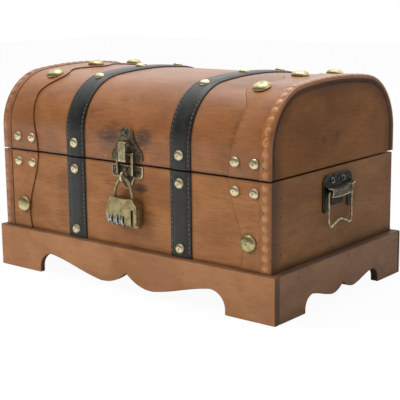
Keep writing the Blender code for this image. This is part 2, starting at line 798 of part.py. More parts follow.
# Padlock
def build_shackle():
    """Wire bow, a half ellipse, with one long and one short leg in the case."""
    bow = [(shackle_leg_spread * x, swing_z - shackle_bow_height * (1 - rise))
           for x, rise in arc((0, 0), 1, 180, 0, 18)]
    path = [(-shackle_leg_spread, lock_top - long_leg_depth)] + bow
    path += [(shackle_leg_spread, lock_top - short_leg_depth)]
    wire("padlock_shackle", [(latch_centre + x, lock_y, z) for x, z in path],
         shackle_wire, antique_bronze, roundness=3)


def dial_places():
    first = latch_centre - dial_group_left - dial_pitch
    return [first + dial_pitch * i for i in range(3)]


def build_case():
    half = lock_width / 2
    inset = lock_shoulder
    outline = [(half, lock_bottom + lock_shoulder / 2), (half, lock_top - lock_shoulder_rise),
               (half - inset / 2, lock_top - lock_shoulder_rise / 3), (half - inset, lock_top)]
    outline += [(-x, z) for x, z in reversed(outline)]
    outline += [(-half + lock_shoulder / 2, lock_bottom), (half - lock_shoulder / 2, lock_bottom)]
    outline = [(latch_centre + x, z) for x, z in outline]
    back = lock_y + lock_thickness / 2
    case = slab_y("padlock_case", outline, lock_front, back, antique_bronze)
    soften(case, lock_edge_radius)
    low_edge = [(lock_front - overrun, lock_bottom - overrun),
                (lock_front + lock_chamfer + overrun, lock_bottom - overrun),
                (lock_front - overrun, lock_bottom + lock_chamfer + overrun)]
    cut(case, slab_x("padlock_low_edge", low_edge, latch_centre - half - overrun,
                     latch_centre + half + overrun, antique_bronze))
    slot = dial_thickness / 2 + dial_clearance
    for number, x in enumerate(dial_places(), 1):
        cut(case, rod_x(f"padlock_slot_{number}", dial_radius + dial_clearance, x - slot, x + slot,
                        dial_y, dial_z, antique_bronze, 28))
    bore = shackle_wire / 2 + leg_bore_clearance
    for side, sign, depth in (("long", -1, long_leg_depth), ("short", 1, short_leg_depth)):
        cut(case, rod_z(f"padlock_bore_{side}", bore, lock_top - depth - leg_bore_clearance,
                        lock_top + overrun, latch_centre + sign * shackle_leg_spread, lock_y,
                        antique_bronze, 14))
    places = dial_places()
    reach = dial_thickness / 2 + 2 * dial_clearance
    cut(case, rod_x("padlock_axle_bore", dial_axle_radius + fit_gap, places[0] - reach - overrun,
                    places[-1] + reach + overrun, dial_y, dial_z, antique_bronze, 14))
    column_x = latch_centre + half - column_radius
    column_y = lock_front + column_radius / 2
    column_low = lock_bottom + lock_shoulder / 2
    groove = board("padlock_groove",
                   (column_x - column_radius - column_groove, lock_front - overrun, column_low),
                   (column_x + column_radius + overrun, column_y + column_radius, column_low + column_height),
                   antique_bronze)
    cut(case, groove)
    fuse(case, rod_z("padlock_column", column_radius, column_low - column_groove,
                     column_low + column_height + column_groove, column_x - column_groove / 2,
                     column_y + column_groove, antique_bronze, 16))


def build_dials():
    places = dial_places()
    for number, x in enumerate(places, 1):
        dial = rod_x(f"padlock_dial_{number}", dial_radius, x - dial_thickness / 2,
                     x + dial_thickness / 2, dial_y, dial_z, silver_steel, 30)
        cut(dial, rod_x(f"dial_bore_{number}", dial_axle_radius + fit_gap, x - dial_thickness,
                        x + dial_thickness, dial_y, dial_z, silver_steel, 14))
    reach = dial_thickness / 2 + dial_clearance + overrun
    rod_x("padlock_dial_axle", dial_axle_radius, places[0] - reach, places[-1] + reach,
          dial_y, dial_z, silver_steel, 14)


# Side handles
def handle_outline():
    """Plate with clipped top corners, two legs and a short middle tab: (y, z) points."""
    wide = handle_plate_half_width
    leg = wide - handle_leg_width
    half = [(wide - handle_clip, handle_plate_top), (wide, handle_plate_top - handle_clip)]
    half += arc((wide - handle_leg_width / 2, handle_plate_foot + handle_leg_width / 2),
                handle_leg_width / 2, 0, -180, 6)
    web_foot = barrel_height - handle_web_drop
    half += [(leg, web_foot), (handle_tab_half_width, web_foot),
             (handle_tab_half_width, barrel_height - handle_tab_drop)]
    return half + [(-y, z) for y, z in reversed(half)]


def build_handle(side, sign):
    near = sign * (half_width + fit_gap)
    far = near + sign * plate_thickness
    plate = slab_x(f"handle_{side}_plate", handle_outline(), near, far, dark_iron)
    axis_x = sign * barrel_x
    fuse(plate, rod_y(f"handle_{side}_barrel", barrel_radius, -barrel_half_length, barrel_half_length,
                      axis_x, barrel_height, dark_iron, 20))
    bore = bail_wire / 2 + bail_bore_clearance
    cut(plate, rod_y(f"handle_{side}_bore", bore, -barrel_half_length - overrun,
                     barrel_half_length + overrun, axis_x, barrel_height, dark_iron, 14))
    for number, place in enumerate((-1, 1), 1):
        cut(plate, rod_x(f"handle_{side}_screw_hole_{number}", screw_hole_radius,
                         min(near, far) - overrun, max(near, far) + overrun,
                         place * screw_hole_spacing / 2, handle_plate_top - screw_hole_drop,
                         dark_iron, 12))
    half = [(0, barrel_height), (bail_half_width - bail_wire, barrel_height)]
    half += arc((bail_half_width - bail_wire, barrel_height - bail_wire), bail_wire, 90, 0, 4)[1:]
    low = barrel_height - bail_drop
    half += arc((bail_half_width - bail_corner_radius, low + bail_corner_radius),
                bail_corner_radius, 0, -110, 8)
    reach = half[-1][0]
    rise = low + bail_notch - half[-1][1]
    half += [(reach * (1 - s), half[-1][1] + rise * (1 - math.cos(math.pi * s)) / 2)
             for s in (0.2, 0.4, 0.6, 0.8, 1.0)]
    path = half[1:] + [(-y, z) for y, z in reversed(half[1:-1])]
    wire(f"handle_{side}_bail", [(axis_x, y, z) for y, z in path], bail_wire, pale_brass, closed=True)


build_box()
build_plinth()
build_lid()
build_edge_strips()
build_trims()
build_straps()
build_hinge("left", fittings_shift - hinge_centre)
build_hinge("right", fittings_shift + hinge_centre)
build_hasp_plates()
build_hasp_link()
build_staple()
build_shackle()
build_case()
build_dials()
build_handle("left", -1)
build_handle("right", 1)
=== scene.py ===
# %% [markdown]
# # A small treasure chest
# This lesson dresses a jointed model of a domed wooden chest. The solids of its boards, plates and
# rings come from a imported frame, and every visible surface gets its shape and finish here.
# Lengths are written in millimetres and turned into metres in one place, because the studs and
# stitches are only a few millimetres across and read better that way. The box is symmetric about
# its own middle, while the frame's origin lies under the middle of everything, padlock and plinth
# included. So all pieces are built about the box's middle and then moved to `middle`.

# %% Load the frame
import math
import random

import bmesh
import bpy
from mathutils import Matrix, Vector


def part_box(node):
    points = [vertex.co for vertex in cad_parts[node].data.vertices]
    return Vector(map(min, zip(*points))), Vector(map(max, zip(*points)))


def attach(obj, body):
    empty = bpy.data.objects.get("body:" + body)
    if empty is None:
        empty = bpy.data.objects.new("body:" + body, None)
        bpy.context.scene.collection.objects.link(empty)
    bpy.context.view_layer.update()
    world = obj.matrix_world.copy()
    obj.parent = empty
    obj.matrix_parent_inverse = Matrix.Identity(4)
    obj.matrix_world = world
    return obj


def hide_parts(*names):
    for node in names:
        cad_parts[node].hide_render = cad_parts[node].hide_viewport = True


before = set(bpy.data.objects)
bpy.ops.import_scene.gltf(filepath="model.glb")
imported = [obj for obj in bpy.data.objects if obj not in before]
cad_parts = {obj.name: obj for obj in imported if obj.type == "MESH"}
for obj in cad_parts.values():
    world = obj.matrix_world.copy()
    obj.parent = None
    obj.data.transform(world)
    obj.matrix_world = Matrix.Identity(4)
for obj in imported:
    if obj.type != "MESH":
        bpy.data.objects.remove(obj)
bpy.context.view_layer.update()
mm = 0.001
left_low, right_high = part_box("left_wall")[0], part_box("right_wall")[1]
middle = (left_low + right_high) / 2 / mm
middle.z = 0


def box_mm(node):
    """Lowest and highest corners of a solid of the frame about the box's middle, in millimetres."""
    low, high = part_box(node)
    return low / mm - middle, high / mm - middle


print("solids in the frame:", len(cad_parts))

# %% [markdown]
# ## Sizes that everything follows
# The walls, the plinth and the lid's shell give the sizes that all other pieces follow. They could
# be typed in again, but reading them from the frame's solids keeps both models the same.

# %% Box sizes
half_width, half_depth, seam_z = box_mm("right_wall")[1]
plinth_top = box_mm("plinth_front")[1].z
shell_low, shell_high = box_mm("lid_shell")
crown_z = shell_high.z
seam_gap = shell_low.z - seam_z
seam_middle = seam_z + seam_gap / 2
gap = 0.3
print(f"half width {half_width:.1f}, half depth {half_depth:.1f}, seam {seam_z:.1f}, crown {crown_z:.1f}")

# %% [markdown]
# ## The camera
# The photograph was taken with a fairly long lens from the right front corner, a little above the
# lid. The place, turn and lens below were fitted to the corners of the box and plinth. Giving the
# camera a full turning matrix avoids any doubt about the order of its three angles.

# %% Camera
camera_place = (552.5, -673.1, 239.4)
camera_yaw = math.radians(39.13)
camera_pitch = math.radians(10.54)
camera_roll = math.radians(-0.65)
lens_pixels = 1044.6
frame_pixels = 400
sensor_width = 36.0
lens_middle = (199.1, 178.5)
view_depth = 20

ahead = Vector((-math.sin(camera_yaw) * math.cos(camera_pitch),
                math.cos(camera_yaw) * math.cos(camera_pitch), -math.sin(camera_pitch)))
level_right = Vector((math.cos(camera_yaw), math.sin(camera_yaw), 0))
level_up = level_right.cross(ahead)
right = math.cos(camera_roll) * level_right + math.sin(camera_roll) * level_up
up = -math.sin(camera_roll) * level_right + math.cos(camera_roll) * level_up

camera_data = bpy.data.cameras.new("photo_camera")
camera = bpy.data.objects.new("photo_camera", camera_data)
bpy.context.scene.collection.objects.link(camera)
turn = Matrix((right, up, -ahead)).transposed().to_4x4()
camera.matrix_world = Matrix.Translation((Vector(camera_place) + middle) * mm) @ turn
camera_data.sensor_width = sensor_width
camera_data.lens = sensor_width * lens_pixels / frame_pixels
camera_data.shift_x = 0.5 - lens_middle[0] / frame_pixels
camera_data.shift_y = lens_middle[1] / frame_pixels - 0.5
camera_data.clip_end = view_depth
bpy.context.scene.camera = camera
print(f"lens {camera_data.lens:.1f} mm")

# %% [markdown]
# ## Sums that build nodes
# A finish is a net of small nodes, and most of them only add, multiply or compare. Wiring them one
# by one hides the idea, so a small class wraps an output socket and gives it Python's operators.
# Each sign then adds one Math node, and the reflected forms make `1 - mask` work too.

# %% Sums of sockets
def operator_pair(operation):
    """A Python operator and its reflected form, each of which adds one Math node."""
    def plain(self, other):
        return self.finish.node("Math", {"operation": operation}, {0: self, 1: other})

    def reflected(self, other):
        return self.finish.node("Math", {"operation": operation}, {0: other, 1: self})

    return plain, reflected


class Sum:
    """An output socket that can be used in Python sums."""

    __add__, __radd__ = operator_pair("ADD")
    __sub__, __rsub__ = operator_pair("SUBTRACT")
    __mul__, __rmul__ = operator_pair("MULTIPLY")
    __truediv__, __rtruediv__ = operator_pair("DIVIDE")
    __pow__, __rpow__ = operator_pair("POWER")
    __gt__, __lt__ = operator_pair("GREATER_THAN")
    smaller = operator_pair("MINIMUM")[0]
    larger = operator_pair("MAXIMUM")[0]

    def __init__(self, finish, socket):
        self.finish = finish
        self.socket = socket

    def __abs__(self):
        return self.finish.node("Math", {"operation": "ABSOLUTE"}, {0: self})

    def between(self, start, end):
        """0 below start, 1 above end and a soft rise between them; start may be the larger one."""
        low, high = sorted((start, end))
        rise = self.finish.node("MapRange", {"interpolation_type": "SMOOTHSTEP"},
                                {"Value": self, "From Min": low, "From Max": high})
        return rise if start < end else 1 - rise


print("operators ready")

# %% [markdown]
# ## One method for every other node
# A material is a tree of nodes that ends in a shader. The class below keeps that tree, makes any
# node from its type, its settings and its sockets' values or links, and sets the shader's own
# sockets by name. Colours go through Mix and places through Vector Math, because a Math node
# would turn them grey.

# %% A finish
class Finish:
    """A material or a world being mixed, with one method for every kind of node."""

    def __init__(self, name, owner=None):
        self.block = owner or bpy.data.materials.new(name)
        self.block.use_nodes = True
        self.tree = self.block.node_tree
        self.shader = self.tree.nodes.get("Principled BSDF")

    def node(self, kind, settings=None, inputs=None, output=0):
        """Adds a node and gives back one of its outputs, by number or name."""
        made = self.tree.nodes.new("ShaderNode" + kind)
        for name, value in (settings or {}).items():
            setattr(made, name, value)
        for name, value in (inputs or {}).items():
            self.feed(made.inputs[name], value)
        return Sum(self, made.outputs[output])

    def feed(self, socket, value):
        """Links a sum to a socket, or sets a plain value on it."""
        if isinstance(value, Sum):
            self.tree.links.new(value.socket, socket)
        else:
            socket.default_value = value

    def place(self):
        """The point on the piece, in millimetres."""
        corner = self.node("TexCoord", output="Object")
        return self.node("VectorMath", {"operation": "SCALE"}, {0: corner, "Scale": 1 / mm})

    def parts(self, vector):
        split = self.node("SeparateXYZ", inputs={0: vector}).socket.node
        return [Sum(self, output) for output in split.outputs]

    def joined(self, x, y, z):
        return self.node("CombineXYZ", inputs={0: x, 1: y, 2: z})

    def noise(self, vector, detail, roughness, distortion=0.0, size=1.0):
        return self.node("TexNoise", inputs={"Vector": vector, "Scale": 1 / size, "Detail": detail,
                                             "Roughness": roughness, "Distortion": distortion})

    def blend(self, factor, first, second):
        """Mixes two colours. A Mix node's colour sockets can only be told apart by number."""
        factor_in, first_in, second_in, colour_out = 0, 6, 7, 2
        colours = [colour if isinstance(colour, Sum) else (*colour, 1) for colour in (first, second)]
        return self.node("Mix", {"data_type": "RGBA"},
                         {factor_in: factor, first_in: colours[0], second_in: colours[1]}, colour_out)

    def set(self, **values):
        """Feeds the shader's sockets, whose names are written in small letters."""
        for name, value in values.items():
            socket = self.shader.inputs[name.replace("_", " ").title().replace("Ior", "IOR")]
            self.feed(socket, (*value, 1) if isinstance(value, tuple) else value)

    def bump(self, height, distance, strength):
        self.set(normal=self.node("Bump", inputs={"Height": height, "Distance": distance * mm,
                                                  "Strength": strength}))


print("finish helper ready")

# %% [markdown]
# ## Light
# The object stands on pure white. A world that is white all round would wash out the wood, so it
# is full white only to the camera, through Light Path, and lights the pieces at half that level.
# In reflections it runs from dark in front and below to bright behind and above, which gives the
# brass its contrast. A large soft lamp at the front left and two weak ones make the front brighter
# than the end, as in a light tent. The front lamp leaves no square of light in reflections.

# %% World and lamps
tent_level = 0.5
mirror_low, mirror_high = 0.2, 1.6
backward_share, upward_share = 0.6, 0.8
backdrop_start, backdrop_full = 0.08, 0.75
white = (1, 1, 1, 1)

world = bpy.data.worlds.new("light_tent")
bpy.context.scene.world = world
sky = Finish("light_tent", world)
seen = sky.node("LightPath", output="Is Camera Ray")
mirrored = sky.node("LightPath", output="Is Glossy Ray")
passed = sky.node("LightPath", output="Is Transmission Ray")
toward = sky.parts(sky.node("TexCoord", output="Generated"))
backdrop = (toward[1] * backward_share + toward[2] * upward_share).between(backdrop_start, backdrop_full)
mirror_level = mirror_low + (mirror_high - mirror_low) * backdrop
level = (seen.larger(passed)).larger(mirrored * mirror_level).larger((1 - mirrored) * tent_level)
sky.feed(sky.tree.nodes["Background"].inputs["Strength"], level)
sky.feed(sky.tree.nodes["Background"].inputs["Color"], white)

lamps = {
    "front_softbox": {"place": (-1000, -900, 1150), "aim": (0, 0, 60), "size": (800, 800), "watts": 23},
    "top_softbox": {"place": (-100, 250, 1300), "aim": (0, 0, 100), "size": (900, 700), "watts": 9},
    "end_softbox": {"place": (1250, -150, 420), "aim": (140, 0, 80), "size": (500, 700), "watts": 0.8},
}
for name, lamp in lamps.items():
    light = bpy.data.lights.new(name, "AREA")
    light.shape = "RECTANGLE"
    light.size, light.size_y = (length * mm for length in lamp["size"])
    light.energy = lamp["watts"]
    holder = bpy.data.objects.new(name, light)
    place, aim = Vector(lamp["place"]), Vector(lamp["aim"])
    holder.location = place * mm
    holder.rotation_euler = (aim - place).to_track_quat("-Z", "Y").to_euler()
    bpy.context.scene.collection.objects.link(holder)
bpy.data.objects["front_softbox"].visible_glossy = False
bpy.context.scene.view_settings.view_transform = "Standard"
print("lamps:", list(lamps))

# %% [markdown]
# ## Floor
# In the photograph only a breath of shadow lies under the feet. A plain white floor would show the
# falloff of the lamps, so to the camera the floor is nearly all white glow, with a small share of
# lit paper that carries the shadow. All other rays see paper.

# %% White floor
floor_width = 6000
floor_drop = 0.2
shadow_share = 0.05
paper_white = (0.9, 0.9, 0.9)

reach = floor_width * mm / 2
floor_mesh = bpy.data.meshes.new("white_floor")
floor_mesh.from_pydata([(-reach, -reach, 0), (reach, -reach, 0), (reach, reach, 0), (-reach, reach, 0)],
                       [], [(0, 1, 2, 3)])
floor = bpy.data.objects.new("white_floor", floor_mesh)
floor.location.z = -floor_drop * mm
bpy.context.scene.collection.objects.link(floor)
paper = Finish("white_paper")
paper.set(base_color=paper_white, roughness=0.9)
glow = paper.node("Emission", inputs={"Color": white, "Strength": 1.0})
sight = paper.node("LightPath", output="Is Camera Ray")
lit_paper = Sum(paper, paper.shader.outputs["BSDF"])
either = paper.node("MixShader", inputs={0: sight * (1 - shadow_share), 1: lit_paper, 2: glow})
paper.feed(paper.tree.nodes["Material Output"].inputs["Surface"], either)
floor_mesh.materials.append(paper.block)
print("floor", floor_width, "mm wide")

# %% [markdown]
# ## Stained wood
# The chest is thin light wood, stained red-brown and rubbed dark in patches to look old. A picture
# of wood could be wrapped round it, but noise has no seams and follows each board's own grain.
# Three scales of it make the wood: clouds of stain a few centimetres wide, streaks drawn out along
# the grain, and fine fibres. Each smudge is a soft ball of darkness at a place on the box, broken
# up by noise; most are dirt, and a few are painted shadow. A shade adds painted shade in seams,
# joints and recesses, and darker stain where the wood soaked up more.

# %% Wood
cloud_size, streak_size, fibre_size = (46, 26), (11, 0.95), (5, 0.5)
line_strength, streak_tone, fibre_tone = 0.3, 0.55, 0.62
# Smudge brown is for dirt and for a few painted shadows; the other brown is for painted shade in seams,
# joints and recesses and for darker stain in end grain and panel bands.
smudge_and_shadow_brown, shade_and_stain_brown = (0.035, 0.018, 0.012), (0.045, 0.022, 0.014)
rag_length, rag_height, rag_reach = 9, 2.2, 5
smudge_rim = 1.15
grain_depth, grain_strength = 0.12, 0.45


def darker(colour, share):
    return tuple(part * share for part in colour)


def stretched(finish, place, grain, size):
    """A place squeezed so that noise comes out as long and as wide as size says, along the grain."""
    length, width = size
    return finish.joined(*(part / (length if axis == grain else width) for axis, part in zip("xyz", place)))


def smudge(finish, spot, centre, size):
    """1 in the middle of a ragged oval patch, fading to 0 at its rim."""
    x, y, z = finish.parts(spot)
    ragged = finish.noise(finish.joined(x / rag_length, y / rag_length, z / rag_height), 3, 0.6)
    place = (x, y, z + rag_reach * (ragged - 0.5))
    across, along, high = ((part - at) / half for part, at, half in zip(place, centre, size))
    return (across * across + along * along + high * high).between(smudge_rim, 0.0)


def wood(name, pale, deep, grain="x", smudges=(), shade=None, roughness=0.45, streak=1.0, shine=0.2):
    """Stained wood. Each smudge is given as its middle, its half sizes and its strength."""
    finish = Finish(name)
    spot = finish.place()
    place = finish.parts(spot)
    clouds = finish.noise(stretched(finish, place, grain, cloud_size), 4, 0.6, 0.4)
    streaks = finish.noise(stretched(finish, place, grain, streak_size), 4, 0.6, 0.2)
    fibres = finish.noise(stretched(finish, place, grain, fibre_size), 3, 0.6)
    line = line_strength * streak
    colour = finish.blend(clouds.between(0.28, 0.72), pale, deep)
    colour = finish.blend(streaks.between(0.44, 0.68) * line, colour, darker(deep, streak_tone))
    colour = finish.blend(fibres.between(0.5, 0.8) * line, colour, darker(deep, fibre_tone))
    for centre, size, strength in smudges:
        patch = smudge(finish, spot, centre, size) * (streaks + clouds).between(0.75, 1.2) * strength
        colour = finish.blend(patch, colour, smudge_and_shadow_brown)
    # The shade mask paints shade where parts meet and in recesses, besides some darker stain.
    if shade is not None:
        colour = finish.blend(shade(finish, *place) * (0.75 + 0.5 * clouds), colour, shade_and_stain_brown)
    finish.set(base_color=colour, roughness=roughness + 0.16 * streaks - 0.05, specular_ior_level=shine)
    finish.bump(fibres * 0.5 + streaks, grain_depth, grain_strength)
    return finish.block


print("wood recipe ready")

# %% [markdown]
# ## Stains and painted shade of the front and the ends
# Painted shade darkens the wood along the seam and where the walls meet the plinth, and the wood is
# darker in patches round the lock. The end walls are darker at the front corner, and a painted
# shadow lies behind the handle. Such marks could be painted as pictures. A distance to the seam, a
# corner or a point says the same in one line, and it stays in place when the box changes.

# %% Stains and painted shade of the walls
def shaded(distance, reach, core, strength):
    """A mask that starts reach millimetres away and has its full strength within core."""
    return distance.between(reach, core) * strength


def seam_shade(finish, x, y, z):
    """Painted shade: a dark line along the seam between lid and box."""
    return shaded(abs(z - seam_middle), reach=2.6, core=0.5, strength=0.55)


def front_shade(finish, x, y, z):
    """Painted shade in the seam, and also where the front wall meets the plinth."""
    return seam_shade(finish, x, y, z).larger(shaded(z - plinth_top, reach=3, core=0, strength=0.45))


def end_shade(finish, x, y, z):
    """Darker at the front corner, with painted shade along the plinth and the seam and a painted shadow round
    the handle.
    """
    corner = shaded(abs(y + half_depth), reach=16, core=3, strength=0.7)
    low = shaded(z - plinth_top, reach=8, core=0, strength=0.6)
    # A painted shadow round the handle.
    handle = smudge(finish, finish.joined(0.0, y, z), centre=(0, 6, 82), size=(1, 32, 22)) * 0.45
    seam = shaded(abs(z - seam_middle), reach=1.6, core=0.6, strength=0.2)
    return corner.larger(low).larger(handle).larger(seam)


front_smudges = [((15.5, -86, 84.5), (10, 8, 4.5), 0.9), ((-14, -86, 86), (10, 8, 4), 0.75),
                 ((24, -86, 58), (13, 9, 9), 0.12), ((-70, -86, 60), (9, 9, 40), 0.25)]
finish_front = wood("stained_front", (0.33, 0.14, 0.049), (0.225, 0.088, 0.029), "x", front_smudges,
                    front_shade, streak=1.15)
finish_end = wood("stained_end", (0.213, 0.097, 0.035), (0.142, 0.06, 0.019), "y", shade=end_shade,
                  shine=0.1)
finish_bare = wood("bare_inside", (0.52, 0.35, 0.2), (0.40, 0.25, 0.13), "x", roughness=0.7)
print("smudges on the front wall:", len(front_smudges))

# %% [markdown]
# ## Stain and painted shade of the plinth
# The plinth's boards are greyer and duller. Painted shade darkens their top edge under the wall and
# the sawn faces of the scallops, and their end grain soaked up more stain. The sawn faces could have
# a material of their own, but the bevel there would cut it off hard. The shader finds them by their
# normal instead: on the boards that run along X, a sawn face is one that doesn't look along Y.

# %% Stain and painted shade of the plinth
sawn_from = 7
top_shade_low, top_shade_high = 1.2, 0.4
end_grain_start, end_grain_full = 0.9, 0.2
corner_clear = 0.6
plinth_low, plinth_high = box_mm("plinth_front")
plinth_centre = (plinth_low.x + plinth_high.x) / 2
plinth_half = plinth_high.x - plinth_centre


def plinth_shade(face_axis):
    """Painted shade and end-grain stain of a plinth board whose broad faces look along an axis: 0 for X and 1
    for Y.
    """
    def shade(finish, x, y, z):
        across = abs(finish.parts(finish.node("TexCoord", output="Normal"))[face_axis])
        # Painted shade on the sawn faces, which look down and sideways.
        sawn = (1 - across).between(0.5, 0.95) * (z < plinth_top - sawn_from) * 0.85
        # Painted shade along the top edge, where the wall stands on it.
        top = z.between(plinth_top - top_shade_low, plinth_top - top_shade_high) * 0.6
        at_end = abs(x - plinth_centre).between(plinth_half - end_grain_start, plinth_half - end_grain_full)
        end_grain = at_end * (abs(y) > half_depth + corner_clear) * 0.8
        return top.larger(end_grain).larger(sawn)
    return shade


finish_plinth = wood("stained_plinth", (0.355, 0.168, 0.073), (0.26, 0.117, 0.048), "x",
                     shade=plinth_shade(1), roughness=0.55, streak=0.7)
finish_plinth_end = wood("stained_plinth_end", (0.22, 0.115, 0.061), (0.145, 0.073, 0.038), "y",
                         shade=plinth_shade(0), roughness=0.55, streak=0.7)
print(f"plinth board {2 * plinth_half:.1f} mm long")

# %% [markdown]
# ## Stain and painted shade of the lid
# The panel in each lid end was stained darker in a band that follows the dome, and painted shade
# deepens the band at its edge, under the shell. The band is worked out in the shader as the
# distance to the outline: the crown and the shoulders are arcs and the sides are straight, so the
# distance is the smallest of the three. The shell's sawn ends use the same distance, so that they
# are dark but for a thin rim.

# %% Stain and painted shade of the lid
crown_radius = 400.0
shoulder_radius = 45.0
shell_thickness = 3.2
dark_band_width = 14.0
rim_dark_from, rim_pale_from = -2.7, -2.0
shoulder_y = half_depth - shoulder_radius
crown_centre_z = crown_z - crown_radius
shoulder_z = crown_centre_z + math.sqrt((crown_radius - shoulder_radius) ** 2 - shoulder_y ** 2)
crown_angle = math.asin(shoulder_y / (crown_radius - shoulder_radius))


def arch_distance(y, z):
    """Millimetres from a point of the end panel to the panel's edge."""
    side = half_depth - shell_thickness - abs(y)
    height = z - crown_centre_z
    crown = crown_radius - shell_thickness - (y * y + height * height) ** 0.5
    over = (abs(y) - shoulder_y).larger(0.0)
    above = (z - shoulder_z).larger(0.0)
    shoulder = shoulder_radius - shell_thickness - (over * over + above * above) ** 0.5
    in_corner = (abs(y) - shoulder_y) > (z - shoulder_z) * math.tan(crown_angle)
    top = shoulder * in_corner + crown * (1 - in_corner)
    return top.smaller(side)


def panel_shade(finish, x, y, z):
    """Stained dark band along the dome, with painted shade at its edge under the shell and along the seam,
    and darker in the low front corner.
    """
    away = arch_distance(y, z)
    # Painted shade at the panel's edge, under the shell.
    edge = shaded(away, reach=4.5, core=0.4, strength=0.92)
    soft = shaded(away, reach=dark_band_width, core=2, strength=0.4)
    front_low = shaded(abs(y + half_depth), reach=18, core=4, strength=0.55)
    return edge.larger(soft).larger(front_low).larger(seam_shade(finish, x, y, z) * 0.3)


def rim_shade(finish, x, y, z):
    """The shell's sawn ends are dark except for a thin rim, like the panel beside them."""
    return arch_distance(y, z).between(rim_dark_from, rim_pale_from) * 0.9


# Dirt smudges; the last two are painted shadow along the right trim's border.
lid_smudges_and_shadows = [((-17, -84, 123), (15, 10, 6), 0.9), ((-9, -84, 129), (14, 10, 9), 0.6),
               ((19, -84, 124.5), (12, 10, 8), 1.2), ((16.5, -84, 117), (10, 10, 5), 0.8),
               ((-36, -80, 139), (17, 10, 6), 0.35), ((92, -40, 168), (22, 30, 8), 0.25),
               ((-4, -76, 152), (18, 12, 4), 0.25), ((0, -84, 116), (60, 10, 10), 0.2),
               ((109, -80, 145), (4.5, 20, 16), 0.4), ((106.5, -84, 131), (4, 20, 14), 0.3)]
panel_smudges = [((140, -17, 124.4), (20, 5, 4), 0.5), ((140, 1.5, 127), (20, 4, 4), 0.4)]
finish_lid = wood("stained_lid", (0.278, 0.106, 0.031), (0.185, 0.067, 0.019), "x", lid_smudges_and_shadows, seam_shade,
                  roughness=0.37, streak=1.15, shine=0.42)
finish_shell_end = wood("stained_rim", (0.30, 0.12, 0.036), (0.2, 0.075, 0.02), "y", shade=rim_shade,
                        shine=0.05)
finish_panel = wood("stained_panel", (0.2, 0.08, 0.022), (0.13, 0.049, 0.011), "y", panel_smudges,
                    panel_shade, shine=0.08)
print("panel band", dark_band_width, "mm, smudges on the lid:", len(lid_smudges_and_shadows))

# %% [markdown]
# ## Leather
# The straps are black leather. The edge strips are tan leather pressed with a hot die, browner at
# the left end than at the right. Leather is a dull surface with fine cells: a Voronoi texture's
# distance to the cell edge gives the creases between them, which plain noise wouldn't.

# %% Leather
def leather(name, colour, worn, roughness, cell=0.9, shine=0.3):
    finish = Finish(name)
    spot = finish.place()
    blotch = finish.noise(spot, 3, 0.6, size=9)
    grain = finish.node("TexVoronoi", {"feature": "DISTANCE_TO_EDGE"}, {"Vector": spot, "Scale": 1 / cell})
    mix = finish.blend(blotch.between(0.42, 0.68), colour, worn)
    finish.set(base_color=mix, roughness=roughness + 0.2 * blotch - 0.1, specular_ior_level=shine)
    finish.bump(grain + 0.4 * blotch, 0.12, 0.35)
    return finish.block


finish_edging = leather("tan_edging", (0.255, 0.094, 0.024), (0.185, 0.065, 0.016), 0.36)
finish_emboss = leather("tan_emboss", (0.365, 0.152, 0.048), (0.25, 0.092, 0.026), 0.3, shine=0.7)
finish_edging_left = leather("brown_edging", (0.215, 0.09, 0.038), (0.15, 0.058, 0.024), 0.4)
finish_emboss_left = leather("orange_emboss", (0.31, 0.135, 0.058), (0.22, 0.085, 0.034), 0.34)
finish_strap = leather("black_strap", (0.0088, 0.0088, 0.0076), (0.017, 0.0168, 0.0147), 0.42, 0.7, 0.4)
finish_thread = leather("grey_thread", (0.18, 0.17, 0.145), (0.07, 0.066, 0.058), 0.6)
# Dark fill: real filler and print, and painted shade in the hasp plates' nail holes.
finish_ink_and_shade = leather("dark_fill_and_shade", (0.012, 0.01, 0.009), (0.02, 0.017, 0.014), 0.6)
print("leathers and threads ready")

# %% [markdown]
# ## Brass, bronze and iron
# The metals are fully metallic. What makes them look old is patina, a dark brown film that noise
# leaves in patches, and a rougher surface where it lies. A second, paler mix is for the rims: partly
# rubbed bright by hands, partly a painted highlight on edges that face the light.

# %% Metal
def old_metal(name, bright, dark, roughness=0.32, cover=0.5, patch=3.0):
    """Metal whose film covers more of it the lower cover is, in patches as wide as patch."""
    finish = Finish(name)
    spot = finish.place()
    film = finish.noise(spot, 5, 0.65, 0.5, size=patch)
    speck = finish.noise(spot, 2, 0.5, size=0.8)
    worn = film.between(cover - 0.14, cover + 0.16)
    colour = finish.blend(worn, bright, dark)
    colour = finish.blend(speck.between(0.6, 0.75) * 0.5, colour, darker(dark, 0.4))
    finish.set(base_color=colour, metallic=1.0, roughness=roughness + 0.22 * worn)
    finish.bump(film + 0.3 * speck, 0.06, 0.4)
    return finish.block


finish_stud = old_metal("stud_brass", (0.68, 0.585, 0.385), (0.39, 0.32, 0.18), 0.33, 0.58)
finish_boss = old_metal("boss_brass", (0.50, 0.43, 0.22), (0.28, 0.235, 0.11), 0.3, 0.54, 6.0)
finish_patina = old_metal("stud_patina", (0.34, 0.29, 0.18), (0.16, 0.13, 0.07), 0.45, 0.5)
finish_bronze = old_metal("old_bronze", (0.47, 0.4, 0.245), (0.23, 0.185, 0.105), 0.36, 0.5)
finish_link = old_metal("link_bronze", (0.32, 0.265, 0.165), (0.14, 0.115, 0.07), 0.36, 0.5)
finish_plate = old_metal("plate_bronze", (0.225, 0.178, 0.108), (0.07, 0.055, 0.036), 0.42, 0.46)
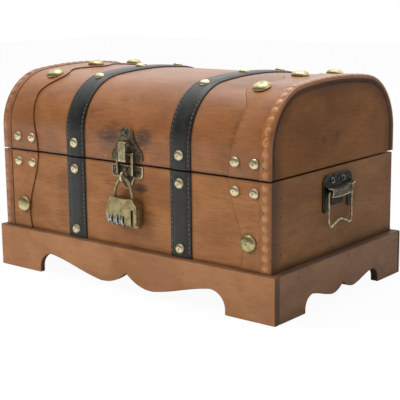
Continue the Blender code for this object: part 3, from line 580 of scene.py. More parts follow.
# Paler rims: partly wear rubbed bright by hands, partly a painted highlight on edges that face the light.
finish_rim = old_metal("rubbed_rim_and_highlight", (0.80, 0.72, 0.50), (0.46, 0.40, 0.25), 0.36, 0.62)
finish_lock = old_metal("lock_bronze", (0.37, 0.31, 0.155), (0.25, 0.2, 0.09), 0.38, 0.52, 6.0)
finish_black = old_metal("black_iron", (0.022, 0.0225, 0.018), (0.009, 0.0095, 0.0075), 0.42, 0.5)
finish_saddle = old_metal("saddle_steel", (0.085, 0.068, 0.046), (0.03, 0.024, 0.017), 0.36, 0.5)
finish_bail = old_metal("bail_wire", (0.47, 0.41, 0.28), (0.18, 0.15, 0.09), 0.3, 0.5)
finish_dial = old_metal("dial_steel", (0.68, 0.69, 0.69), (0.28, 0.28, 0.28), 0.3, 0.55)
finish_nail = old_metal("nail_grey", (0.30, 0.29, 0.27), (0.16, 0.15, 0.14), 0.45, 0.5)
bronze_pair = [finish_plate, finish_rim]
print("materials:", len(bpy.data.materials))

# %% [markdown]
# ## Skins
# Almost every piece is a closed skin through rings of points. One function makes that skin, and
# another turns it into a piece: it gives the piece its finishes, places it at the box's middle and
# lets it ride on a body of the frame. Rounded edges come from a bevel that stays a modifier, so
# the points under it stay few, and its faces can have a second finish, such as a paler rim that
# is partly wear and partly a painted highlight.

# %% Skins and pieces
def to_mesh(bm, name):
    """Turns a form drawn in millimetres into a mesh in metres whose faces look outward."""
    bmesh.ops.recalc_face_normals(bm, faces=bm.faces)
    bmesh.ops.scale(bm, vec=(mm, mm, mm), verts=bm.verts)
    mesh = bpy.data.meshes.new(name)
    bm.to_mesh(mesh)
    bm.free()
    return mesh


def show(name, bm, body, finishes, stands_for=(), crease=35):
    """Makes a piece from a form and lets it ride on a body, in place of the solids it stands for."""
    mesh = to_mesh(bm, name)
    mesh.shade_smooth()
    mesh.set_sharp_from_angle(angle=math.radians(crease))
    for finish in finishes if isinstance(finishes, list) else [finishes]:
        mesh.materials.append(finish)
    thing = bpy.data.objects.new(name, mesh)
    thing.location = middle * mm
    bpy.context.scene.collection.objects.link(thing)
    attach(thing, body)
    if stands_for:
        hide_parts(*stands_for)
    return thing


def skin(bm, rings, closed=False, second_finish=()):
    """Joins neighbouring rings with faces; ring edges listed in second_finish use material 1."""
    loops = [[bm.verts.new(point) for point in ring] for ring in rings]
    pairs = list(zip(loops, loops[1:])) + ([(loops[-1], loops[0])] if closed else [])
    count = len(loops[0])
    for near, far in pairs:
        for i in range(count):
            j = (i + 1) % count
            face = bm.faces.new((near[i], near[j], far[j], far[i]))
            face.material_index = int(i in second_finish)
    if not closed:
        bm.faces.new(loops[0])
        bm.faces.new(loops[-1])
    return bm


def soften(thing, width, segments=3, rim_finish=None, angle=40):
    """Rounds a piece's edges; rim_finish is the number of the finish that the rounding gets."""
    bevel = thing.modifiers.new("rounded", "BEVEL")
    bevel.width = width * mm
    bevel.segments = segments
    bevel.limit_method = "ANGLE"
    bevel.angle_limit = math.radians(angle)
    bevel.harden_normals = True
    if rim_finish is not None:
        bevel.material = rim_finish


print("piece tools ready")

# %% [markdown]
# ## Shapes
# Four shapes cover the whole chest. A slab is an outline pushed through a thickness, as a board or
# a plate is sawn or stamped. A turned form is a row of rings of different radii on one axis, for
# nails, pins and knuckles. A tube follows a path, for wires. The fourth, a strip wrapped over the
# dome, comes further down. Blender's own curves could draw the tubes, but then each would need
# turning into a mesh, and all pieces can share one skin this way.

# %% Shapes
def ring_points(radius, sides, centre=(0, 0)):
    return [(centre[0] + radius * math.cos(2 * math.pi * i / sides),
             centre[1] + radius * math.sin(2 * math.pi * i / sides)) for i in range(sides)]


def arc(centre, radius, first, last, steps):
    angles = [math.radians(first + (last - first) * i / steps) for i in range(steps + 1)]
    return [(centre[0] + radius * math.cos(a), centre[1] + radius * math.sin(a)) for a in angles]


def steps_between(first, last, steps):
    return [first + (last - first) * i / steps for i in range(steps + 1)]


def slab_y(outline, y0, y1):
    return skin(bmesh.new(), [[(x, y, z) for x, z in outline] for y in (y0, y1)])


def slab_x(outline, x0, x1):
    return skin(bmesh.new(), [[(x, y, z) for y, z in outline] for x in (x0, x1)])


def turned(bm, axis, place, profile, sides):
    """Rings on an axis, "x", "y" or "z", through a place: the profile gives heights and radii."""
    main = "xyz".index(axis)
    first, second = (i for i in range(3) if i != main)
    rings = []
    for height, radius in profile:
        ring = []
        for across, along in ring_points(radius, sides, (place[first], place[second])):
            point = [0.0, 0.0, 0.0]
            point[main], point[first], point[second] = place[main] + height, across, along
            ring.append(point)
        rings.append(ring)
    return skin(bm, rings)


def tube(bm, path, radius, sides, closed=False):
    """A round wire along a path, kept untwisted by carrying one side direction along it."""
    points = [Vector(p) for p in path]
    count = len(points)
    side = None
    rings = []
    for i, point in enumerate(points):
        before = points[(i - 1) % count] if closed or i > 0 else point
        after = points[(i + 1) % count] if closed or i < count - 1 else point
        along = (after - before).normalized()
        if side is None:
            side = along.orthogonal().normalized()
        side = (side - along * side.dot(along)).normalized()
        across = along.cross(side)
        rings.append([point + side * (radius * math.cos(a)) + across * (radius * math.sin(a))
                      for a in (2 * math.pi * k / sides for k in range(sides))])
    return skin(bm, rings, closed)


print("shapes ready")

# %% [markdown]
# ## The outline of the chest
# Straps, trims and edging all wrap the same outline: up the front, round the shoulder, over the
# flat crown and down the back. Measuring along it, from the front seam, turns each of them into a
# plain flat strip. A negative run goes down the front of the box. A bent curve with a Shrinkwrap
# could do the same, but the formula keeps every strip exactly as far off the wood as it should be.

# %% Outline
lid_steps, body_steps = 132, 40
lid_side = shoulder_z - seam_z
shoulder_run = shoulder_radius * (math.pi / 2 - crown_angle)
girth = 2 * (lid_side + shoulder_run + crown_radius * crown_angle)


def outline_place(run, offset):
    """Point (y, z) and outward direction at a run along the outline."""
    behind = run > girth / 2
    run = girth - run if behind else run
    if run <= lid_side:
        y, z, out_y, out_z = -half_depth - offset, seam_z + run, -1.0, 0.0
    elif run <= lid_side + shoulder_run:
        angle = (run - lid_side) / shoulder_radius
        out_y, out_z = -math.cos(angle), math.sin(angle)
        y = -shoulder_y + (shoulder_radius + offset) * out_y
        z = shoulder_z + (shoulder_radius + offset) * out_z
    else:
        angle = crown_angle - (run - lid_side - shoulder_run) / crown_radius
        out_y, out_z = -math.sin(angle), math.cos(angle)
        y = (crown_radius + offset) * out_y
        z = crown_centre_z + (crown_radius + offset) * out_z
    return (-y, z, -out_y, out_z) if behind else (y, z, out_y, out_z)


def lid_runs(steps=lid_steps):
    return steps_between(seam_gap, girth - seam_gap, steps)


def wrapped(runs, section, second_finish=()):
    """A strip along the outline; its section gives places across the chest and heights above it."""
    rings = []
    for run in runs:
        rings.append([(x, *outline_place(run, offset)[:2]) for x, offset in section(run)])
    return skin(bmesh.new(), rings, second_finish=second_finish)


body_runs = steps_between(plinth_top + gap - seam_z, 0, body_steps)
print(f"over the lid from seam to seam: {girth:.0f} mm")

# %% [markdown]
# ## Walls
# Four thin boards make the box. A cube scaled to size would do for each, but its edges would be
# razor sharp, while sanded ones catch a thread of light, so they are slabs with softened edges.
# The floor and the rails in the lid only need a finish, so the frame's own solids keep their shape.

# %% Walls
board_edge = 0.7
walls = {"front_wall": (finish_front, "stained_wood"), "back_wall": (finish_front, "stained_wood"),
         "left_wall": (finish_end, "end_wood"), "right_wall": (finish_end, "end_wood")}
for node, (finish, slot) in walls.items():
    (x0, y0, z0), (x1, y1, z1) = box_mm(node)
    ring = [(x0, y0), (x1, y0), (x1, y1), (x0, y1)]
    form = skin(bmesh.new(), [[(x, y, z) for x, y in ring] for z in (z0, z1)])
    soften(show(node + "_board", form, "chest", finish, [node]), board_edge)
for node in ("bottom_panel", "lid_rail_front", "lid_rail_back"):
    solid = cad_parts[node]
    solid.data.materials.clear()
    solid.data.materials.append(finish_bare)
print("walls:", len(walls))

# %% [markdown]
# ## The domed lid
# On the real chest a thin board is bent over two end panels, which stand a little inside it. The
# shell is one wrapped strip as wide as the box, with finer steps than the frame's solid, because
# its outline is seen against white. Its two sawn ends use the second finish.

# %% Lid shell
rim_round, corner_share = 0.7, 0.3
panel_steps = 96
shell_end_edges = (1, 7)


def shell_section(run):
    """Flat inside, with rounded corners outside."""
    w, r = half_width, rim_round
    c = corner_share * rim_round
    return [(-w, -shell_thickness), (w, -shell_thickness), (w, -r), (w - c, -c), (w - r, 0),
            (-w + r, 0), (-w + c, -c), (-w, -r)]


show("domed_shell", wrapped(lid_runs(), shell_section, shell_end_edges), "lid",
     [finish_lid, finish_shell_end], ["lid_shell"])
arch = [outline_place(run, -(shell_thickness + gap))[:2] for run in lid_runs(panel_steps)]
for side in ("left", "right"):
    low, high = box_mm(f"lid_end_{side}")
    show(f"end_panel_{side}", slab_x(arch, low.x, high.x), "lid", finish_panel,
         [f"lid_end_{side}"])
print("shell rings:", len(lid_runs()))

# %% [markdown]
# ## Plinth
# Four boards with a sawn lower edge lift the box. Each edge runs from a foot over a quarter arc,
# falls in a long slope to a lobe and rises to a cusp in the middle. It could be traced from the
# photograph point by point, but three formulas give a smooth edge and only a few numbers to set.

# %% Plinth
long_edge = {"centre": 3.3, "foot_edge": 98.6, "arc_width": 14.1, "top": 17.5, "lobe": 5.0,
             "lobe_share": 0.325, "cusp": 15.2}
short_edge = {"centre": 0.8, "foot_edge": 53.0, "arc_width": 10.0, "top": 12.8, "lobe": 6.1,
              "lobe_share": 0.37, "cusp": 12.4}
foot_spring_share, fall_ease_share, cusp_power = 0.25, 0.4, 2.3
foot_steps, slope_steps, lobe_steps = 12, 20, 12
plinth_round, plinth_round_angle = 0.9, 55


def scallop(low, high, centre, foot_edge, arc_width, top, lobe, lobe_share, cusp):
    """Board outline from low to high whose lower edge has two feet, two lobes and a middle cusp."""
    crest = foot_edge - arc_width
    lobe_at = crest * lobe_share
    spring = top * foot_spring_share
    half = [(foot_edge, 0)]
    for i in range(foot_steps):
        angle = math.pi / 2 * i / foot_steps
        half.append((crest + arc_width * math.cos(angle), spring + (top - spring) * math.sin(angle)))
    for i in range(slope_steps + 1):
        s = i / slope_steps
        drop = s + ((1 - math.cos(math.pi * s)) / 2 - s) * fall_ease_share
        half.append((crest + (lobe_at - crest) * s, top + (lobe - top) * drop))
    for i in range(1, lobe_steps + 1):
        s = i / lobe_steps
        half.append((lobe_at * (1 - s), lobe + (cusp - lobe) * s ** cusp_power))
    edge = [(centre + x, z) for x, z in half] + [(centre - x, z) for x, z in reversed(half[:-1])]
    return [(high, plinth_top), (high, 0)] + edge + [(low, 0), (low, plinth_top)]


for side in ("front", "back", "left", "right"):
    low, high = box_mm(f"plinth_{side}")
    if side in ("front", "back"):
        form, finish = slab_y(scallop(low.x, high.x, **long_edge), low.y, high.y), finish_plinth
    else:
        form, finish = slab_x(scallop(low.y, high.y, **short_edge), low.x, high.x), finish_plinth_end
    board = show(f"plinth_{side}_board", form, "chest", finish, [f"plinth_{side}"])
    soften(board, plinth_round, angle=plinth_round_angle)
print("plinth boards: 4")

# %% [markdown]
# ## Corner trims
# A thin skin of the same stained wood covers each corner, with a waved border that casts a thin
# dark line. The line could be drawn in the shader, but both the border and its dark rim are part
# of the cross-section here, so they follow the wave by themselves: the ring edges at the border
# use a second, darker finish, which is painted shade that deepens the line, hard on the left and
# soft on the right.

# %% Trims
skin_foot = 0.02
trim_thickness, trim_edge = 0.8, 0.25
trim_top = gap + trim_thickness
edging_width = 9.5
strip_inner = half_width - edging_width
border_at_seam = half_width - 39.5
fittings_shift = 2.0
body_swing, body_half_wave = 6.2, 52.0
lid_rise, lid_swing = 7.8, 6.0
stud_spread = 0.19 * girth
top_stud_run = girth * (0.5 - 0.025)
boss_runs = (top_stud_run - stud_spread, top_stud_run, top_stud_run + stud_spread)
# Both rim woods are painted shade along the trims' borders: soft on the right, dark on the left.
finish_soft_border_shade = wood("soft_border_shade_wood", (0.23, 0.088, 0.032), (0.15, 0.055, 0.02), "x", roughness=0.5)
finish_border_shade = wood("border_shade_rim", (0.11, 0.052, 0.03), (0.07, 0.033, 0.02), "x", roughness=0.6)
sides = (("left", -1), ("right", 1))
trim_rims = {"left": {"rim": finish_border_shade, "chamfer": 0.25, "dark_edges": (0,)},
             "right": {"rim": finish_soft_border_shade, "chamfer": 0.9, "dark_edges": (0, 1)}}


def body_border(run):
    return border_at_seam + body_swing * (1 - math.cos(math.pi * run / body_half_wave))


def lid_border(run):
    """The border swings in round each large stud and runs out evenly to the seams."""
    first, last = boss_runs[0] - stud_spread / 2, boss_runs[2] + stud_spread / 2
    if first < run < last:
        wave = 1 + math.cos(2 * math.pi * (run - top_stud_run) / stud_spread)
        return border_at_seam + lid_rise - lid_swing * wave
    share = run / first if run <= first else (girth - run) / (girth - last)
    return border_at_seam + lid_rise * (1 - math.cos(math.pi * share)) / 2


def trim_section(sign, border, chamfer):
    outer = sign * (strip_inner - gap)

    def section(run):
        edge = fittings_shift + sign * border(run)
        return [(edge, skin_foot), (edge, trim_top - trim_edge), (edge + sign * chamfer, trim_top),
                (outer, trim_top), (outer, skin_foot)]
    return section


for side, sign in sides:
    look = trim_rims[side]
    for part, body, runs, border, finish in (("body", "chest", body_runs, body_border, finish_front),
                                             ("lid", "lid", lid_runs(), lid_border, finish_lid)):
        form = wrapped(runs, trim_section(sign, border, look["chamfer"]), look["dark_edges"])
        show(f"{part}_trim_skin_{side}", form, body, [finish, look["rim"]],
             [f"{part}_trim_{side}"])
print("trims: 4")

# %% [markdown]
# ## Laced edging
# The ends of the dome and the front corners carry a tan strip pressed to look like lacing: one
# rounded pad after another, with a short ridge between each pair. A bump texture would look flat
# from the side, so the pads are real low domes, laid over the outline, and they catch light at
# every angle. The strip below them is one wrapped skin.

# %% Edging
edging_thickness, edging_round, edging_pitch = 1.5, 0.7, 7.6
edging_top = gap + edging_thickness
pad = {"half_along": 3.5, "half_across": 2.9, "half_high": 1.1, "around": 16, "rings": 10}
ridge = {"half_along": 0.35, "half_across": 2.6, "half_high": 0.3, "around": 12, "rings": 6}
pad_sink, ridge_sink, pad_place_share = 0.35, 0.1, 0.57


def bead(bm, x, run, offset, half_along, half_across, half_high, around=8, rings=6):
    """A small ellipsoid lying on the outline with its length along the strap."""
    y, z, out_y, out_z = outline_place(run, offset)
    out = Vector((0, out_y, out_z))
    across = Vector((1, 0, 0))
    along = out.cross(across)
    turn = Matrix((across * half_across, along * half_along, out * half_high)).transposed().to_4x4()
    bmesh.ops.create_uvsphere(bm, u_segments=around, v_segments=rings, radius=1,
                              matrix=Matrix.Translation((x, y, z)) @ turn)


def edging_section(sign):
    """A flat strip with both upper edges rounded."""
    high, r = edging_top, edging_round
    c = corner_share * r
    inner, outer = sign * strip_inner, sign * half_width
    return lambda run: [(inner, skin_foot), (inner, high - r), (inner + sign * c, high - c),
                        (inner + sign * r, high), (outer - sign * r, high),
                        (outer - sign * c, high - c), (outer, high - r), (outer, skin_foot)]


def lace(sign, first, last):
    """Pads and ridges along a strip between two runs."""
    bm = bmesh.new()
    across = sign * (strip_inner + edging_width * pad_place_share)
    count = max(1, round((last - first) / edging_pitch))
    pitch = (last - first) / count
    for i in range(count):
        centre = first + pitch * (i + 0.5)
        bead(bm, across, centre, edging_top - pad_sink, **pad)
        if i < count - 1:
            bead(bm, across, centre + pitch / 2, edging_top - ridge_sink, **ridge)
    return bm


leathers = {"left": (finish_edging_left, finish_emboss_left), "right": (finish_edging, finish_emboss)}
for side, sign in sides:
    base, raised = leathers[side]
    for part, body, runs in (("body", "chest", body_runs), ("lid", "lid", lid_runs())):
        show(f"{part}_edging_{side}", wrapped(runs, edging_section(sign)), body, base,
             [f"{part}_edge_strip_{side}"])
        show(f"{part}_lacing_{side}", lace(sign, runs[0], runs[-1]), body, raised)
print("edging strips: 4")

# %% [markdown]
# ## Straps
# Each strap is black leather, padded in the middle and stitched near both edges. The section rises
# over a soft step, which is what gives the long highlights. The stitches could be a bump, but at
# this size they would blur, so they are small beads of thread, set in a row at an even pitch.

# %% Straps
strap_low, strap_high = box_mm("body_strap_right")
strap_half = (strap_high.x - strap_low.x) / 2
strap_spread = half_width - 84.6
margin_top, padding_top = gap + 0.95, gap + 1.6
padding_half = strap_half - 3.6
edge_shape = ((0, -0.4), (0.25, -0.12), (0.7, 0))
groove_shape = ((-0.9, -0.1), (-0.35, 0.1))
padding_shape = ((0.4, -0.22), (1.3, -0.05))
flat_share, flat_rise = 0.4, 0.04
stitch = {"half_along": 1.15, "half_across": 0.36, "half_high": 0.3}
stitch_inset, stitch_pitch, stitch_free_ends = 1.9, 3.5, 3


def strap_section(centre):
    """The shapes give how far in each point lies, and its height over the margin or the padding."""
    half = [(strap_half, skin_foot)]
    half += [(strap_half - inward, margin_top + rise) for inward, rise in edge_shape]
    half += [(padding_half - inward, margin_top + rise) for inward, rise in groove_shape]
    half += [(padding_half - inward, padding_top + rise) for inward, rise in padding_shape]
    half.append((padding_half * flat_share, padding_top + flat_rise))
    shape = [(-x, offset) for x, offset in half] + [(x, offset) for x, offset in reversed(half)]
    return lambda run: [(centre + x, offset) for x, offset in shape]


def stitch_runs(first, last):
    count = int((last - first - stitch_free_ends) / stitch_pitch)
    start = (first + last - (count - 1) * stitch_pitch) / 2
    return [start + i * stitch_pitch for i in range(count)]


sewn = 0
for side, sign in sides:
    centre = fittings_shift + sign * strap_spread
    for part, body, runs in (("body", "chest", body_runs), ("lid", "lid", lid_runs())):
        show(f"{part}_strap_leather_{side}", wrapped(runs, strap_section(centre)), body,
             finish_strap, [f"{part}_strap_{side}"])
        bm = bmesh.new()
        for row in (-1, 1):
            for run in stitch_runs(runs[0], runs[-1]):
                bead(bm, centre + row * (strap_half - stitch_inset), run, margin_top, **stitch)
                sewn += 1
        show(f"{part}_strap_thread_{side}", bm, body, finish_thread)
print("stitches:", sewn)

# %% [markdown]
# ## Studs
# Domed nails hold the straps and trims. Squashed spheres would do from afar, but a lathe profile
# gives the low dome, its thin brim and the small dimple on top. Each one is turned a little and
# dented differently by seeded random numbers, because hammered nails never catch the light alike.

# %% Studs
small_stud, large_stud = {"radius": 4.1, "height": 2.6}, {"radius": 7.0, "height": 3.9}
stud_sides = 28
stud_profile_shares = ((0.97, -0.04), (1.0, 0.04), (1.0, 0.13), (0.975, 0.27), (0.93, 0.42), (0.86, 0.57),
                       (0.76, 0.71), (0.64, 0.82), (0.5, 0.90), (0.36, 0.945), (0.25, 0.955),
                       (0.15, 0.94), (0.08, 0.925))
dimple_share, dimple_rings = 0.92, 2
dent_place_share, dent_width_share, dent_depth_share = 0.5, 0.45, 0.07
full_turn = 6.28
hammer = random.Random(7)


def dome(radius, height):
    """A nail head standing on its brim, with patina in the dimple on top and one soft dent."""
    bm = bmesh.new()
    lean = hammer.uniform(0, full_turn)
    angles = [lean + 2 * math.pi * k / stud_sides for k in range(stud_sides)]
    layers = [[bm.verts.new((radius * r * math.cos(a), radius * r * math.sin(a), height * h))
               for a in angles] for r, h in stud_profile_shares]
    for level, (near, far) in enumerate(zip(layers, layers[1:])):
        for i in range(stud_sides):
            j = (i + 1) % stud_sides
            face = bm.faces.new((near[i], near[j], far[j], far[i]))
            face.material_index = int(level > len(layers) - 1 - dimple_rings)
    peak = bm.verts.new((0, 0, height * dimple_share))
    for i in range(stud_sides):
        bm.faces.new((layers[-1][i], layers[-1][(i + 1) % stud_sides], peak)).material_index = 1
    bm.faces.new(layers[0])
    dent_x = hammer.uniform(-dent_place_share, dent_place_share) * radius
    dent_y = hammer.uniform(-dent_place_share, dent_place_share) * radius
    for vert in bm.verts:
        away = math.hypot(vert.co.x - dent_x, vert.co.y - dent_y) / (radius * dent_width_share)
        vert.co.z -= dent_depth_share * height * math.exp(-away * away)
    return bm


def stud(name, x, run, offset, size, body, finish, stands_for=()):
    """A domed nail head whose axis is the outline's outward direction."""
    bm = dome(**size)
    y, z, out_y, out_z = outline_place(run, offset)
    out, across = Vector((0, out_y, out_z)), Vector((1, 0, 0))
    turn = Matrix((across, out.cross(across), out)).transposed().to_4x4()
    bm.transform(Matrix.Translation((x, y, z)) @ turn)
    show(name, bm, body, [finish, finish_patina], stands_for, crease=60)


print("stud profile points:", len(stud_profile_shares))

# %% [markdown]
# ## Where the studs sit
# Small studs stand in a row on both sides of the seam and down the straps, and large ones sit in
# the swings of the trims' borders. All places are runs along the outline, so a loop over both
# sides sets them on the wall and on the dome alike.

# %% Stud places
stud_above, stud_below, low_stud_z, low_boss_z = 12.3, 8.9, 43.0, 56.3
trim_stud_insets = {"outer": 16.0, "inner": 33.2}
lid_boss_inset, body_boss_inset = 31.5, 21.2


for side, sign in sides:
    strap_x = fittings_shift + sign * strap_spread
    lid_boss_x = fittings_shift + sign * (half_width - lid_boss_inset)
    body_boss_x = fittings_shift + sign * (half_width - body_boss_inset)
    for label, run, body in (("lid", stud_above, "lid"), ("body", -stud_below, "chest")):
        for place, inset in trim_stud_insets.items():
            stud(f"trim_stud_seam_{label}_{place}_{side}", fittings_shift + sign * (half_width - inset), run,
                 trim_top, small_stud, body, finish_stud)
    for number, run in enumerate((stud_above, *boss_runs, girth - stud_above)):
        stud(f"strap_stud_lid_{number}_{side}", strap_x, run, padding_top, small_stud, "lid", finish_stud)
    for number, run in enumerate((-stud_below, low_stud_z - seam_z)):
        stud(f"strap_stud_body_{number}_{side}", strap_x, run, padding_top, small_stud, "chest", finish_stud)
    for label, run in zip(("front", "top", "back"), boss_runs):
        stud(f"boss_lid_{label}_{side}", lid_boss_x, run, trim_top + gap, large_stud, "lid", finish_boss,
             [f"lid_stud_{side}_{label}"])
    stud(f"boss_body_{side}", body_boss_x, low_boss_z - seam_z, trim_top + gap, large_stud, "chest",
         finish_boss, [f"body_stud_{side}"])
print("large studs:", 2 * (len(boss_runs) + 1))

# %% [markdown]
# ## Cuts and nails
# Both hasp plates are stamped sheet with paler rims, partly rubbed bright and partly a painted
# highlight, nailed on through pressed cups, each darkened by a disc of painted shade. The holes
# could be left out under the nails, but their rims show, so a Boolean cuts them, applied at once so
# that no hidden tool is left behind. A bevel that comes after it rounds the holes too.

# %% Cuts and nails
lower_low, lower_high = box_mm("hasp_lower_plate")
latch_x = (lower_low.x + lower_high.x) / 2
plate_half_width = (lower_high.x - lower_low.x) / 2
plate_thickness = 1.0
plate_back = -(half_depth + gap)
plate_front = plate_back - plate_thickness
overrun = 2
head_root = 0.6
head_profile_shares = ((0, 1), (0.7, 0.85), (1, 0.45))
hole_radius, cup_rim_radius, cup_rim_wire, cup_rim_lift = 1.0, 1.85, 0.2, 0.05
cup_radius, cup_height, cup_lift = 1.75, 0.12, 0.02
plate_nail_radius, plate_nail_height, plate_nail_lift = 0.8, 0.35, 0.1


def pierce(thing, form, name):
    """Cuts a hidden tool out of a piece and applies the cut, so nothing is left behind."""
    tool = bpy.data.objects.new(name, to_mesh(form, name))
    tool.location = thing.location
    bpy.context.scene.collection.objects.link(tool)
    cut = thing.modifiers.new(name, "BOOLEAN")
    cut.object = tool
    cut.operation = "DIFFERENCE"
    cut.solver = "EXACT"
    bpy.context.view_layer.update()
    settled = thing.evaluated_get(bpy.context.evaluated_depsgraph_get())
    mesh = bpy.data.meshes.new_from_object(settled)
    thing.modifiers.remove(cut)
    thing.data = mesh
    bpy.data.objects.remove(tool)


def nail_heads(name, places, face_y, radius, height, body, finish, outward=-1):
    """Low round heads on a face that looks along Y, to the front unless outward is 1."""
    bm = bmesh.new()
    profile = [(-head_root, 1)] + [(height * rise, share) for rise, share in head_profile_shares]
    for x, z in places:
        turned(bm, "y", (x, face_y, z), [(outward * rise, radius * share) for rise, share in profile], 16)
    show(name, bm, body, finish)


def nail_plate(plate, name, holes, body):
    """Cuts a hasp plate's holes and sets in each a nail, a dark cup of painted shade and a paler rim round
    the cup.
    """
    pegs, rims = bmesh.new(), bmesh.new()
    peg = [(plate_back + overrun, hole_radius), (plate_front - overrun, hole_radius)]
    for x, z in holes:
        turned(pegs, "y", (x, 0, z), peg, 20)
        ring = [(rx, plate_front - cup_rim_lift, rz) for rx, rz in ring_points(cup_rim_radius, 20, (x, z))]
        tube(rims, ring, cup_rim_wire, 8, closed=True)
    pierce(plate, pegs, name + "_holes")
    # A dark disc of painted shade in each nail hole.
    nail_heads(name + "_plate_hole_shade", holes, plate_front - cup_lift, cup_radius, cup_height, body,
               finish_ink_and_shade)
    show(name + "_plate_rims", rims, body, finish_link)
    nail_heads(name + "_plate_nails", holes, plate_front - plate_nail_lift, plate_nail_radius,
               plate_nail_height, body, finish_plate)


def mirrored_outline(half, centre):
    return [(centre + x, z) for x, z in half] + [(centre - x, z) for x, z in reversed(half[:-1])]


print(f"hasp centre at x = {latch_x:.1f}")

# %% [markdown]
# ## Upper plate
# The upper plate is bell-shaped: two ears with rounded corners, flanks that sweep in and a round
# head. A window is punched behind the tongue, where the link's bar turns. The sweep is a short
# list of shares of its width and height, chosen against the photograph.

# %% Upper plate
upper_low = box_mm("hasp_upper_plate")[0].z
upper_height, neck_half, ear_height, neck_height, ear_corner = 26.9, 6.9, 4.9, 19.9, 3.0
top_centre = upper_low + upper_height - neck_half
bell_shares = ((0.1, 0.975), (0.21, 0.90), (0.30, 0.77), (0.40, 0.62), (0.50, 0.475), (0.59, 0.34),
               (0.69, 0.215), (0.79, 0.12), (0.9, 0.04))
ear_inset = 4.6
window_half, window_low, window_high = 4.0, seam_z + 2.8, seam_z + 16.8
backing_gap, backing_thickness = 0.15, 0.2
plate_round, plate_round_steps = 0.95, 4


def bell_outline():
    half = arc((plate_half_width - ear_corner, upper_low + ear_corner), ear_corner, -90, 0, 8)
    half.append((plate_half_width, upper_low + ear_height))
    half += [(neck_half + (plate_half_width - neck_half) * width,
              upper_low + ear_height + (neck_height - ear_height) * rise) for rise, width in bell_shares]
    half += arc((0, top_centre), neck_half, 0, 90, 12)
    return mirrored_outline(half, latch_x)


upper_holes = [(latch_x - plate_half_width + ear_inset, upper_low + ear_inset),
               (latch_x + plate_half_width - ear_inset, upper_low + ear_inset),
               (latch_x, upper_low + upper_height - ear_inset)]
window = [(latch_x - window_half, window_low), (latch_x + window_half, window_low),
          (latch_x + window_half, window_high), (latch_x - window_half, window_high)]
upper = show("hasp_bell_plate", slab_y(bell_outline(), plate_back, plate_front), "lid",
             bronze_pair, ["hasp_upper_plate"])
nail_plate(upper, "upper", upper_holes, "lid")
pierce(upper, slab_y(window, plate_back + overrun, plate_front - overrun), "hasp_window")
soften(upper, plate_round, plate_round_steps, 1)
# A sheet of the plate's dark bronze closes the window from behind, as painted shade in place of the lit wood.
backing = plate_back - backing_gap
show("hasp_window_dark", slab_y(window, backing, backing - backing_thickness), "lid",
     finish_plate)
print("upper plate", upper_height, "mm high")

# %% [markdown]
# ## Tongue
# A strip of the upper plate is bent out, down and back in, and the link's bar turns inside the
# fold. Seen from the side it is one bent line of even thickness, so it is a slab along X, whose
# outline follows the bend.

# %% Tongue
tongue_half, tongue_reach, tongue_thick, tongue_fold = 3.65, 7.2, 1.2, 4.6
tongue_top, tongue_low = seam_z + 18.1, seam_z + 2.6
upper_bend, lower_bend, lip_gap, tongue_round = 1.6, 0.8, 2.2, 0.28
front_y = -(half_depth + tongue_reach)
lip_y = -(half_depth + lip_gap)
front_bend_y, lip_bend_y = front_y + lower_bend, lip_y - lower_bend
fold_z = tongue_low + tongue_fold
hook = arc((front_y + upper_bend, tongue_top - upper_bend), upper_bend, 90, 180, 6)
hook += [(front_y, tongue_low + lower_bend)]
hook += arc((front_bend_y, tongue_low + lower_bend), lower_bend, 180, 270, 4) + [(lip_bend_y, tongue_low)]
hook += arc((lip_bend_y, tongue_low + lower_bend), lower_bend, 270, 360, 4)[1:]
hook += [(lip_y, fold_z - lower_bend)] + arc((lip_bend_y, fold_z - lower_bend), lower_bend, 0, 90, 4)[1:]
hook += [(front_y + tongue_thick, fold_z), (front_y + tongue_thick, tongue_top - tongue_thick),
         (plate_front, tongue_top - tongue_thick), (plate_front, tongue_top)]
tongue = show("hasp_tongue", slab_x(hook, latch_x - tongue_half, latch_x + tongue_half), "lid",
              [finish_bronze, finish_rim])
soften(tongue, tongue_round, 3, 1)
print("tongue outline points:", len(hook))

# %% [markdown]
# ## Lower plate
# The lower plate is a shield: two ears, two notches under them and a round tip behind the lock.
# It is made like the upper one, because both were stamped from the same sheet.

# %% Lower plate
lower_top = lower_high.z
lower_ear, ear_radius, tip_radius, notch_half, notch_rise = 10.0, 4.5, 5.2, 7.6, 0.7
lower_corner, middle_nail_drop = 1.5, 3


def shield_outline():
    half = arc((plate_half_width - lower_corner, lower_top - lower_corner), lower_corner, 90, 0, 5)
    half += arc((plate_half_width - ear_radius, lower_top - lower_ear + ear_radius), ear_radius, 0, -90, 9)
    half.append((notch_half, lower_top - lower_ear + notch_rise))
    half += arc((0, lower_low.z + tip_radius), tip_radius, 0, -90, 9)
    return mirrored_outline(half, latch_x)


lower_holes = [(latch_x - plate_half_width + ear_inset, lower_top - ear_inset),
               (latch_x + plate_half_width - ear_inset, lower_top - ear_inset),
               (latch_x, lower_top - middle_nail_drop)]
lower = show("hasp_shield_plate", slab_y(shield_outline(), plate_back, plate_front), "chest",
             bronze_pair, ["hasp_lower_plate"])
nail_plate(lower, "lower", lower_holes, "chest")
soften(lower, plate_round, plate_round_steps, 1)
print(f"lower plate {lower_top - lower_low.z:.1f} mm high")

# %% [markdown]
# ## Link and staple
# The link is a fork that turns behind the tongue and straddles the staple. Its arms are flat bars
# on edge, so they are slabs along X on one body with their bar. The staple is thick wire bent into
# a ring, drawn as a tube along its centre line. Only its bow shows, since its ends are in the plate.

